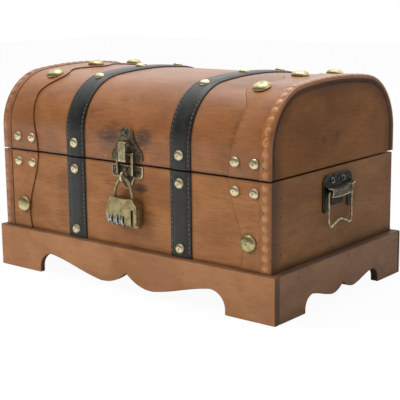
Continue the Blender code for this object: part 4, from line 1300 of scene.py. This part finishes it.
# %% Link and staple
link_low, link_high = box_mm("hasp_link")
arm_half, arm_depth, arm_top, arm_spread, arm_lift = 0.65, 1.4, 1.5, 0.6, 2.5
arm_chamfer, arm_round, bar_radius, bar_share = 1.3, 0.3, 0.9, 0.95
arm_centre = (link_high.x - link_low.x) / 2 - arm_half
arm_foot = link_low.z + arm_lift
link_axis_y = (link_low.y + link_high.y) / 2
link_axis_z = link_high.z - arm_top
arm_back, arm_front = link_axis_y + arm_depth, link_axis_y - arm_depth
arm_outline = arc((link_axis_y, link_axis_z), arm_top, 0, 180, 12)
arm_outline += [(arm_front, link_axis_z - 2 * arm_top), (arm_front, arm_foot + arm_chamfer),
                (arm_front + arm_chamfer, arm_foot), (arm_back, arm_foot),
                (arm_back, link_axis_z - 2 * arm_top)]
for side, sign in sides:
    inner = latch_x + sign * (arm_centre - arm_half)
    outer = latch_x + sign * (arm_centre + arm_half + arm_spread)
    arm = show(f"hasp_fork_arm_{side}", slab_x(arm_outline, inner, outer), "hasp",
               [finish_link, finish_rim], ["hasp_link"] if side == "right" else [])
    # Only the right arm's rounded edges get the pale finish, a painted highlight; the left arm lies in shade
    # and gets none.
    soften(arm, arm_round, 2, 1 if side == "right" else None)
bar = [(latch_x + share * arm_centre, link_axis_y, link_axis_z) for share in (-bar_share, 0, bar_share)]
show("hasp_fork_bar", tube(bmesh.new(), bar, bar_radius, 18), "hasp", finish_bronze)

staple_low, staple_high = box_mm("lock_staple")
staple_wire, staple_root = 1.6, 0.6
staple_radius = (staple_high.z - staple_low.z - staple_wire) / 2
staple_z = (staple_high.z + staple_low.z) / 2
staple_y = staple_low.y + staple_wire / 2 + staple_radius
root_y = plate_front + staple_root
bow = arc((staple_y, staple_z), staple_radius, 90, 270, 24)
path = [(root_y, staple_z + staple_radius)] + bow + [(root_y, staple_z - staple_radius)]
show("staple_ring", tube(bmesh.new(), [(latch_x, y, z) for y, z in path], staple_wire / 2, 16), "chest",
     finish_rim, ["lock_staple"])
print(f"link {link_high.z - arm_foot:.1f} mm long, staple {2 * staple_radius:.1f} mm wide")

# %% [markdown]
# ## Padlock
# The padlock is a cast case with sloping shoulders, three dial windows and a round column beside
# a groove. It could be carved out of a block cut by cut, but its silhouette matters most, so the
# case is one outline pushed through its depth, cut by the windows, and rounded by a bevel last, so
# that the window edges are rounded too.

# %% Padlock case
case_low, case_high = box_mm("padlock_case")
case_left, case_front, case_foot = case_low
case_right, case_back, case_top = case_high
dial_boxes = [box_mm(f"padlock_dial_{number}") for number in (1, 2, 3)]
first_low, first_high = dial_boxes[0]
dial_proud = 0.4
dial_radius = (first_high.y - first_low.y) / 2 + dial_proud
dial_y, dial_z = (first_high.y + first_low.y) / 2, (first_high.z + first_low.z) / 2
window_gap, case_round = 0.35, 0.45
foot_left_shape = ((5.0, 0), (3.2, 1.1), (1.7, 3.2), (0.6, 6.2), (0, 10.5))
top_left_shape = ((0.1, 10.0), (1.1, 6.6), (2.8, 3.2), (5.0, 0.6), (6.2, 0), (8, 0), (11, 0.45))
top_right_shape = ((13, 0.75), (9.5, 0.4), (7, 0), (4.4, 0), (3.2, 1.2), (2.0, 3.4), (0, 5.0))
foot_right_shape = ((0, 2.4), (1.6, 0))
low_chamfer = 4.4


def case_outline():
    """Each shape gives points as distances in from a side and away from the foot or the top."""
    outline = [(case_left + inward, case_foot + up) for inward, up in foot_left_shape]
    outline += [(case_left + inward, case_top - down) for inward, down in top_left_shape]
    outline += [(case_right - inward, case_top - down) for inward, down in top_right_shape]
    return outline + [(case_right - inward, case_foot + up) for inward, up in foot_right_shape]


case = show("lock_case", slab_y(case_outline(), case_front, case_back), "padlock",
            [finish_lock, finish_rim], ["padlock_case"])
windows = bmesh.new()
room = dial_radius + window_gap
for low, high in dial_boxes:
    window_ends = (low.x - window_gap, high.x + 3 * window_gap)
    turned(windows, "x", (0, dial_y, dial_z), [(x, room) for x in window_ends], 40)
pierce(case, windows, "dial_windows")
wedge = [(case_front - overrun, case_foot - overrun), (case_front + low_chamfer, case_foot - overrun),
         (case_front - overrun, case_foot + low_chamfer)]
pierce(case, slab_x(wedge, case_left - overrun, case_right + overrun), "low_chamfer")
print(f"case {case_right - case_left:.1f} x {case_top - case_foot:.1f} mm")

# %% [markdown]
# ## Column and axle
# A round column stands in a groove at the case's right, and a thin axle carries the dials. The
# groove is cut as wide as the column needs, and then the column, a turned form, is set in it. That
# is easier than bending one outline round it, and it leaves the dark line beside the column.

# %% Column and axle
column_radius, column_inset, column_set_back = 1.9, 0.5, 1.9
column_lift, column_reach = 2.1, 14.5
groove_side, groove_below, groove_depth = 1.3, 3, 3.2
column_x = case_right - column_radius - column_inset
column_foot, column_top = case_foot + column_lift, case_foot + column_reach
column_foot_shape = ((-0.6, 0.3), (-0.4, 1.3), (0.3, 1.8), (1.2, column_radius))
column_top_shape = ((-0.8, column_radius), (0.4, column_radius))
axle_radius, axle_reach = 1.0, 2

groove_left = column_x - column_radius - groove_side
groove = [(groove_left, column_foot - groove_below), (case_right + overrun, column_foot - groove_below),
          (case_right + overrun, column_top), (groove_left, column_top)]
pierce(case, slab_y(groove, case_front - overrun, case_front + groove_depth), "column_groove")
soften(case, case_round, 3, 1)
profile = [(column_foot + rise, radius) for rise, radius in column_foot_shape]
profile += [(column_top + rise, radius) for rise, radius in column_top_shape]
column = turned(bmesh.new(), "z", (column_x, case_front + column_set_back, 0), profile, 24)
show("lock_column", column, "padlock", finish_bronze)
axle_ends = (first_low.x - axle_reach, dial_boxes[-1][1].x + axle_reach)
axle = turned(bmesh.new(), "x", (0, dial_y, dial_z), [(x, axle_radius) for x in axle_ends], 16)
show("dial_axle", axle, "padlock", finish_dial, ["padlock_dial_axle"])
print(f"column {column_top - column_foot:.1f} mm high")

# %% [markdown]
# ## Dials
# Every dial is a ten-sided wheel with a notch between its faces, and each face carries one plain
# number. The strokes could be drawn by hand, but Blender's own text gives them: a text object is
# turned into a mesh, set on its face and joined to the wheel's ink.

# %% Dials
dial_faces = 10
face_shape = ((-0.5, 0.55), (-0.38, 0.12), (-0.2, 0.0), (0.2, 0.0), (0.38, 0.12))
wheel_round, wheel_round_drop = 0.35, 0.5
digit_size, digit_thickness, digit_lift, dial_offset = 3.105, 0.1, 0.02, 3


def dial_wheel(x0, x1):
    """A wheel whose faces are given as shares of a face's angle and depths below the rim."""
    outline = []
    for face in range(dial_faces):
        for share, depth in face_shape:
            angle = 2 * math.pi * (face + share) / dial_faces
            radius = dial_radius - depth
            outline.append((radius * math.cos(angle), radius * math.sin(angle)))
    rings = []
    rim = 1 - wheel_round_drop / dial_radius
    for x, shrink in ((x0, rim), (x0 + wheel_round, 1), (x1 - wheel_round, 1), (x1, rim)):
        rings.append([(x, dial_y + y * shrink, dial_z + z * shrink) for y, z in outline])
    return skin(bmesh.new(), rings)


def digit_mesh(character):
    text = bpy.data.curves.new("digit_" + character, "FONT")
    text.body = character
    text.size = digit_size
    text.align_x = "CENTER"
    text.align_y = "CENTER"
    text.extrude = digit_thickness
    text.resolution_u = 3
    thing = bpy.data.objects.new("digit_" + character, text)
    bpy.context.scene.collection.objects.link(thing)
    bpy.context.view_layer.update()
    mesh = bpy.data.meshes.new_from_object(thing.evaluated_get(bpy.context.evaluated_depsgraph_get()))
    bpy.data.objects.remove(thing)
    return mesh


digits = [digit_mesh(str(digit)) for digit in range(dial_faces)]
for number, (low, high) in enumerate(dial_boxes, 1):
    show(f"dial_wheel_{number}", dial_wheel(low.x, high.x), f"dial_{number}", finish_dial,
         [f"padlock_dial_{number}"], crease=30)
    ink = bmesh.new()
    centre = Vector(((low.x + high.x) / 2, dial_y, dial_z))
    for face, digit in enumerate(digits):
        angle = math.pi + 2 * math.pi * (face + dial_offset * number) / dial_faces
        out, across = Vector((0, math.cos(angle), math.sin(angle))), Vector((1, 0, 0))
        place = Matrix((across, out.cross(across), out)).transposed().to_4x4()
        stroke = digit.copy()
        stroke.transform(Matrix.Translation(centre + out * (dial_radius + digit_lift)) @ place)
        ink.from_mesh(stroke)
        bpy.data.meshes.remove(stroke)
    show(f"dial_numbers_{number}", ink, f"dial_{number}", finish_ink_and_shade)
print("dials:", len(dial_boxes))

# %% [markdown]
# ## Shackle
# The shackle is a bow of round wire from one leg of the case to the other. A half circle would be
# too flat, so its arc is stretched upward. A tube along that path stays evenly thick, which a
# scaled torus wouldn't.

# %% Shackle
shackle_low, shackle_high = box_mm("padlock_shackle")
shackle_radius = 1.25
leg_spread, bow_height, left_leg_depth, right_leg_depth = 9.35, 15.6, 5, 4
swing_z = shackle_high.z - shackle_radius
lock_y = (shackle_low.y + shackle_high.y) / 2
bow = [(leg_spread * x, swing_z - bow_height * (1 - rise)) for x, rise in arc((0, 0), 1, 180, 0, 48)]
path = [(-leg_spread, case_top - left_leg_depth)] + bow + [(leg_spread, case_top - right_leg_depth)]
shackle = tube(bmesh.new(), [(latch_x + x, lock_y, z) for x, z in path], shackle_radius, 18)
show("shackle_bow", shackle, "shackle", finish_lock, ["padlock_shackle"])
print(f"shackle crown at {swing_z:.1f} mm")

# %% [markdown]
# ## Side handles: plate and bail
# A black plate carries a folded saddle, in which a thin wire bail turns. The plate is a slab along
# X with two legs. The wire's lower side dips to two corners with a notch between them, so half of
# it is a list of points, mirrored for the other half.

# %% Handle plate and bail
handle_low, handle_high = box_mm("handle_right_plate")
bail_low, bail_high = box_mm("handle_right_bail")
bail_x = (bail_low.x + bail_high.x) / 2
bail_radius = 0.8
rod_z = bail_high.z - bail_radius
bail_foot = bail_low.z + bail_radius
handle_half, handle_corner, leg_radius, leg_width = 20.4, 4.2, 3, 6
between_legs_drop, tab_half, tab_drop = 5.1, 8.6, 11.0
plate_face = half_width + gap + plate_thickness
sheet_round = 0.25
rod_half, bend_y, bend_radius = 12, 14.4, 2
bail_shape = ((16.4, 8), (16.2, 5.4), (15.8, 3.6), (15.1, 2.3), (14.2, 1.5), (13.2, 1.3), (12.2, 1.7),
              (11.0, 2.4), (7, 4.0), (3, 5.4), (1.4, 5.9), (0, 6.1))


def handle_outline():
    """The plate has chamfered upper corners, a round leg at each end and a square tab between."""
    half = [(handle_half - handle_corner, handle_high.z), (handle_half, handle_high.z - handle_corner)]
    half += arc((handle_half - leg_radius, handle_low.z + leg_radius), leg_radius, 0, -180, 10)
    half += [(handle_half - leg_width, rod_z - between_legs_drop), (tab_half, rod_z - between_legs_drop),
             (tab_half, rod_z - tab_drop)]
    return half + [(-y, z) for y, z in reversed(half)]


def bail_path():
    """The rod, the bends and, from the table, distances from the middle and heights over the foot."""
    half = [(rod_half, rod_z)] + arc((bend_y, rod_z - bend_radius), bend_radius, 90, 0, 6)
    half += [(y, bail_foot + rise) for y, rise in bail_shape]
    return half + [(-y, z) for y, z in reversed(half[:-1])]


for side, sign in (("right", 1), ("left", -1)):
    form = slab_x(handle_outline(), sign * (half_width + gap), sign * plate_face)
    plate = show(f"handle_backplate_{side}", form, "chest", [finish_black, finish_saddle],
                 [f"handle_{side}_plate"])
    soften(plate, sheet_round, 2, 1)
    wire = tube(bmesh.new(), [(sign * bail_x, y, z) for y, z in bail_path()], bail_radius, 14, closed=True)
    show(f"handle_wire_{side}", wire, f"bail_{side}", finish_bail, [f"handle_{side}_bail"])
print(f"bail {rod_z - bail_foot:.1f} mm long")

# %% [markdown]
# ## Side handles: saddle
# The saddle is thin sheet folded over the bail's rod. Its upper side dips and its lower lip sags
# in the middle. Both ends flare and are open below, so that the bail's corners can swing up past
# them. Bending a flat sheet with modifiers would be hard to steer, so it is a row of rings: each
# point has a fixed place and takes a share of the dip, the sag and the flare. A thin paler tube is
# its lip.

# %% Handle saddle
saddle_half, saddle_dip, saddle_sag, saddle_flare, flare_power = 19, 2.4, 1.7, 1.3, 5
fold_half, middle_half, middle_steps = 14, 12, 12
saddle_round, saddle_crease = 0.2, 50
end_stations = (13.8, 14.2, 15, 16.5, 18, saddle_half)
# Each row: which face, out from it, up from the rod, and the shares of dip, sag and flare.
outer_rows = ((plate_face, -0.2, 4.9, 1, 0, 0), (plate_face, 1.2, 4.5, 1, 0, 1),
              (bail_x, 1.0, 2.9, 0.4, 0, 1))
fold_rows = ((bail_x, 2.5, 0.4, 0, 0, 0), (bail_x, 2.2, -1.8, 0, 0, 0), (bail_x, 1.3, -2.7, 0, 1, 0),
             (bail_x, 0.8, -2.4, 0, 1, 0), (bail_x, 1.6, -1.6, 0, 0, 0), (bail_x, 1.8, 0.3, 0, 0, 0))
open_rows = ((bail_x, 1.5, 2.6, 0, 0, 1), (bail_x, 1.55, 2.45, 0, 0, 1), (bail_x, 1.55, 2.3, 0, 0, 1),
             (bail_x, 1.5, 2.2, 0, 0, 1), (bail_x, 1.45, 2.15, 0, 0, 1), (bail_x, 1.4, 2.1, 0, 0, 1))
inner_rows = ((bail_x, 0.8, 2.0, 0.4, 0, 1), (plate_face, 1.0, 3.7, 1, 0, 1),
              (plate_face, -0.2, 4.0, 1, 0, 0))
lip_end_row, lip_low_row = (bail_x, 1.5, 2.3, 0, 0, 1), fold_rows[2]
lip_fold_rows = ((bail_x, 2.4, 0.9, 0, 0, 0), (bail_x, 2.5, -0.3, 0, 0, 0), (bail_x, 2.2, -1.7, 0, 0, 0))
lip_end_stations, lip_fold_y, lip_low_half, lip_radius = (saddle_half, 16.5, 14.4), 13.8, 13.6, 0.42


def saddle_point(y, row):
    base, out, rise, dip_share, sag_share, flare_share = row
    share = y / saddle_half
    middle_share = 1 - share * share
    drop = (dip_share * saddle_dip + sag_share * saddle_sag) * middle_share
    return base + out, y, rod_z + rise - drop + flare_share * saddle_flare * abs(share) ** flare_power


def saddle_rings():
    """One ring of the folded sheet for each station along the rod."""
    stations = [-y for y in reversed(end_stations)]
    stations += steps_between(-middle_half, middle_half, middle_steps) + list(end_stations)
    rings = []
    for y in stations:
        lower_rows = fold_rows if abs(y) < fold_half else open_rows
        rings.append([saddle_point(y, row) for row in outer_rows + lower_rows + inner_rows])
    return rings


def saddle_lip():
    """Paler edge of the saddle: over each open end and along the low lip between them."""
    path = [saddle_point(-y, lip_end_row) for y in lip_end_stations]
    path += [saddle_point(-lip_fold_y, row) for row in lip_fold_rows]
    path += [saddle_point(y, lip_low_row) for y in steps_between(-lip_low_half, lip_low_half, 16)]
    path += [saddle_point(lip_fold_y, row) for row in reversed(lip_fold_rows)]
    return path + [saddle_point(y, lip_end_row) for y in reversed(lip_end_stations)]


def mirrored_points(points, sign):
    return [(sign * x, y, z) for x, y, z in points]


for side, sign in (("right", 1), ("left", -1)):
    form = skin(bmesh.new(), [mirrored_points(ring, sign) for ring in saddle_rings()])
    saddle = show(f"handle_saddle_{side}", form, "chest", [finish_saddle, finish_rim],
                  crease=saddle_crease)
    soften(saddle, saddle_round, 2, 1, angle=saddle_crease)
    lip = tube(bmesh.new(), mirrored_points(saddle_lip(), sign), lip_radius, 10)
    show(f"handle_saddle_lip_{side}", lip, "chest", finish_bronze)
print("saddle rings:", len(saddle_rings()))

# %% [markdown]
# ## Side handles: screws
# Two round heads hold each plate, sunk in cups whose rims shine. The heads are turned forms on X
# and the rims thin closed tubes, which read as a line of light even when they are a pixel wide.

# %% Handle screws
screw_y, screw_drop, screw_radius = 7.5, 4.6, 1.7
screw_shape = ((-0.4, 1), (0.15, 1), (0.7, 0.8), (0.95, 0.35))
screw_rim_radius, screw_rim_wire, screw_rim_lift = 2.1, 0.3, 0.25
for side, sign in (("right", 1), ("left", -1)):
    heads, rims = bmesh.new(), bmesh.new()
    for y in (-screw_y, screw_y):
        centre = (y, handle_high.z - screw_drop)
        profile = [(sign * rise, screw_radius * share) for rise, share in screw_shape]
        turned(heads, "x", (sign * plate_face, *centre), profile, 24)
        rim_x = sign * (plate_face + screw_rim_lift)
        ring = [(rim_x, ry, rz) for ry, rz in ring_points(screw_rim_radius, 24, centre)]
        tube(rims, ring, screw_rim_wire, 8, closed=True)
    show(f"handle_screw_rims_{side}", rims, "chest", finish_nail)
    show(f"handle_screws_{side}", heads, "chest", finish_black)
print("handle screws: 4")

# %% [markdown]
# ## Hinges
# Two butt hinges carry the lid at the back, each with two leaves, three knuckles and a pin. The
# outer knuckles belong to the box's leaf and the middle one to the lid's, and each rides with its
# own leaf, so the hinge opens as a real one does. Necks join the knuckles to their leaves.

# %% Hinges
knuckle_radius, knuckle_sides, neck_reach = 2.1, 28, 3
leaf_half, leaf_start, leaf_end, leaf_round = 12, 2.3, 14, 0.3
knuckle_spans = {"body": ((-leaf_half, -4.2), (4.2, leaf_half)), "lid": ((-3.9, 3.9),)}
pin_profile = ((-13.5, 0.6), (-12.5, 1.3), (-12.2, 1.4), (12.2, 1.4), (12.5, 1.3), (13.5, 0.6))
hinge_screws, hinge_screw_radius, hinge_screw_height = ((-8, 8), (0, 10.5), (8, 8)), 1.5, 0.6
leaf_near = half_depth + gap
leaf_far = leaf_near + plate_thickness
hinge_y = leaf_near + knuckle_radius
for side in ("left", "right"):
    leaf_low, leaf_high = box_mm(f"hinge_{side}_body_leaf")
    centre = (leaf_low.x + leaf_high.x) / 2
    for part, body, up in (("body", "chest", -1), ("lid", "lid", 1)):
        z0, z1 = sorted((seam_middle + up * leaf_start, seam_middle + up * leaf_end))
        outline = [(centre - leaf_half, z0), (centre + leaf_half, z0), (centre + leaf_half, z1),
                   (centre - leaf_half, z1)]
        leaf = show(f"hinge_{part}_sheet_{side}", slab_y(outline, leaf_near, leaf_far), body,
                    bronze_pair, [f"hinge_{side}_{part}_leaf"])
        soften(leaf, leaf_round, 2, 1)
        bm = bmesh.new()
        neck_z = seam_middle + up * neck_reach
        neck = [(leaf_near, seam_middle), (leaf_far, seam_middle), (leaf_far, neck_z), (leaf_near, neck_z)]
        for span in knuckle_spans[part]:
            knuckle = [(x, knuckle_radius) for x in span]
            turned(bm, "x", (centre, hinge_y, seam_middle), knuckle, knuckle_sides)
            skin(bm, [[(centre + x, y, z) for y, z in neck] for x in span])
        show(f"hinge_{part}_knuckles_{side}", bm, body, finish_bronze)
        places = [(centre + across, seam_middle + up * away) for across, away in hinge_screws]
        nail_heads(f"hinge_{part}_screws_{side}", places, leaf_far, hinge_screw_radius, hinge_screw_height,
                   body, finish_rim, outward=1)
    pin = turned(bmesh.new(), "x", (centre, hinge_y, seam_middle), pin_profile, 20)
    show(f"hinge_rod_{side}", pin, "chest", finish_rim, [f"hinge_{side}_pin"])
print("hinges: 2")

# %% [markdown]
# ## Small nails
# The boards show small filled nail heads near the seam, the corners and the plinth. They could be
# dots in the shader, but as low heads they catch a grain of light, and a table of places is easy
# to read beside the photograph.

# %% Nails in the front
nail_radius, plinth_nail_radius, nail_height, pad_stand = 0.8, 0.7, 0.15, 0.5
wall_face, trim_face = -half_depth, -half_depth - trim_top
edging_face = -half_depth - edging_top - pad_stand
front_nails = {
    "lid_front_nails": ("lid", wall_face, nail_radius,
                        [(-20.3, seam_z + 5.1), (26.4, seam_z + 4.2), (-60, seam_z + 4.5), (95, seam_z + 5)]),
    "trim_nails_lid": ("lid", trim_face, nail_radius, [(116.9, seam_z + 6.8), (-116.9, seam_z + 6.8)]),
    "trim_nails_body": ("chest", trim_face, nail_radius, [(115.9, seam_z - 10.7), (-115.9, seam_z - 10.7)]),
    "edging_nails_lid": ("lid", edging_face, nail_radius, [(134.3, 117.1), (134.4, 112.1)]),
    "edging_nails_body": ("chest", edging_face, nail_radius, [(134.4, 91.4)]),
    "plinth_nails": ("chest", plinth_low.y, plinth_nail_radius,
                     [(142.9, 27), (142.9, 10), (-142.9, 27), (-142.9, 10), (0, 30)]),
}
for name, (body, face_y, radius, places) in front_nails.items():
    nail_heads(name, places, face_y, radius, nail_height, body, finish_nail)
print("nails in the front:", sum(len(row[-1]) for row in front_nails.values()))

# %% [markdown]
# ## Nails in the ends
# The end walls and the plinth's short boards are nailed too. These heads were filled dark, so they
# are flat turned forms in the dark finish, at the same places on both ends.

# %% Nails in the ends
end_nail_shape = ((-0.5, 1), (0.05, 1), (0.16, 0.5))
wall_nails = ((-75, 89), (-75, 76), (-75, 48), (77.7, 81))
plinth_nails = ((-62.4, 29.7), (7, 32))
for side, sign in (("right", 1), ("left", -1)):
    bm = bmesh.new()
    plinth_side = max(abs(corner.x) for corner in box_mm(f"plinth_{side}"))
    profile = [(sign * rise, nail_radius * share) for rise, share in end_nail_shape]
    for face_x, places in ((half_width, wall_nails), (plinth_side, plinth_nails)):
        for y, z in places:
            turned(bm, "x", (sign * face_x, y, z), profile, 14)
    show(f"end_nails_{side}", bm, "chest", finish_ink_and_shade)
print("nails in each end:", len(wall_nails) + len(plinth_nails))
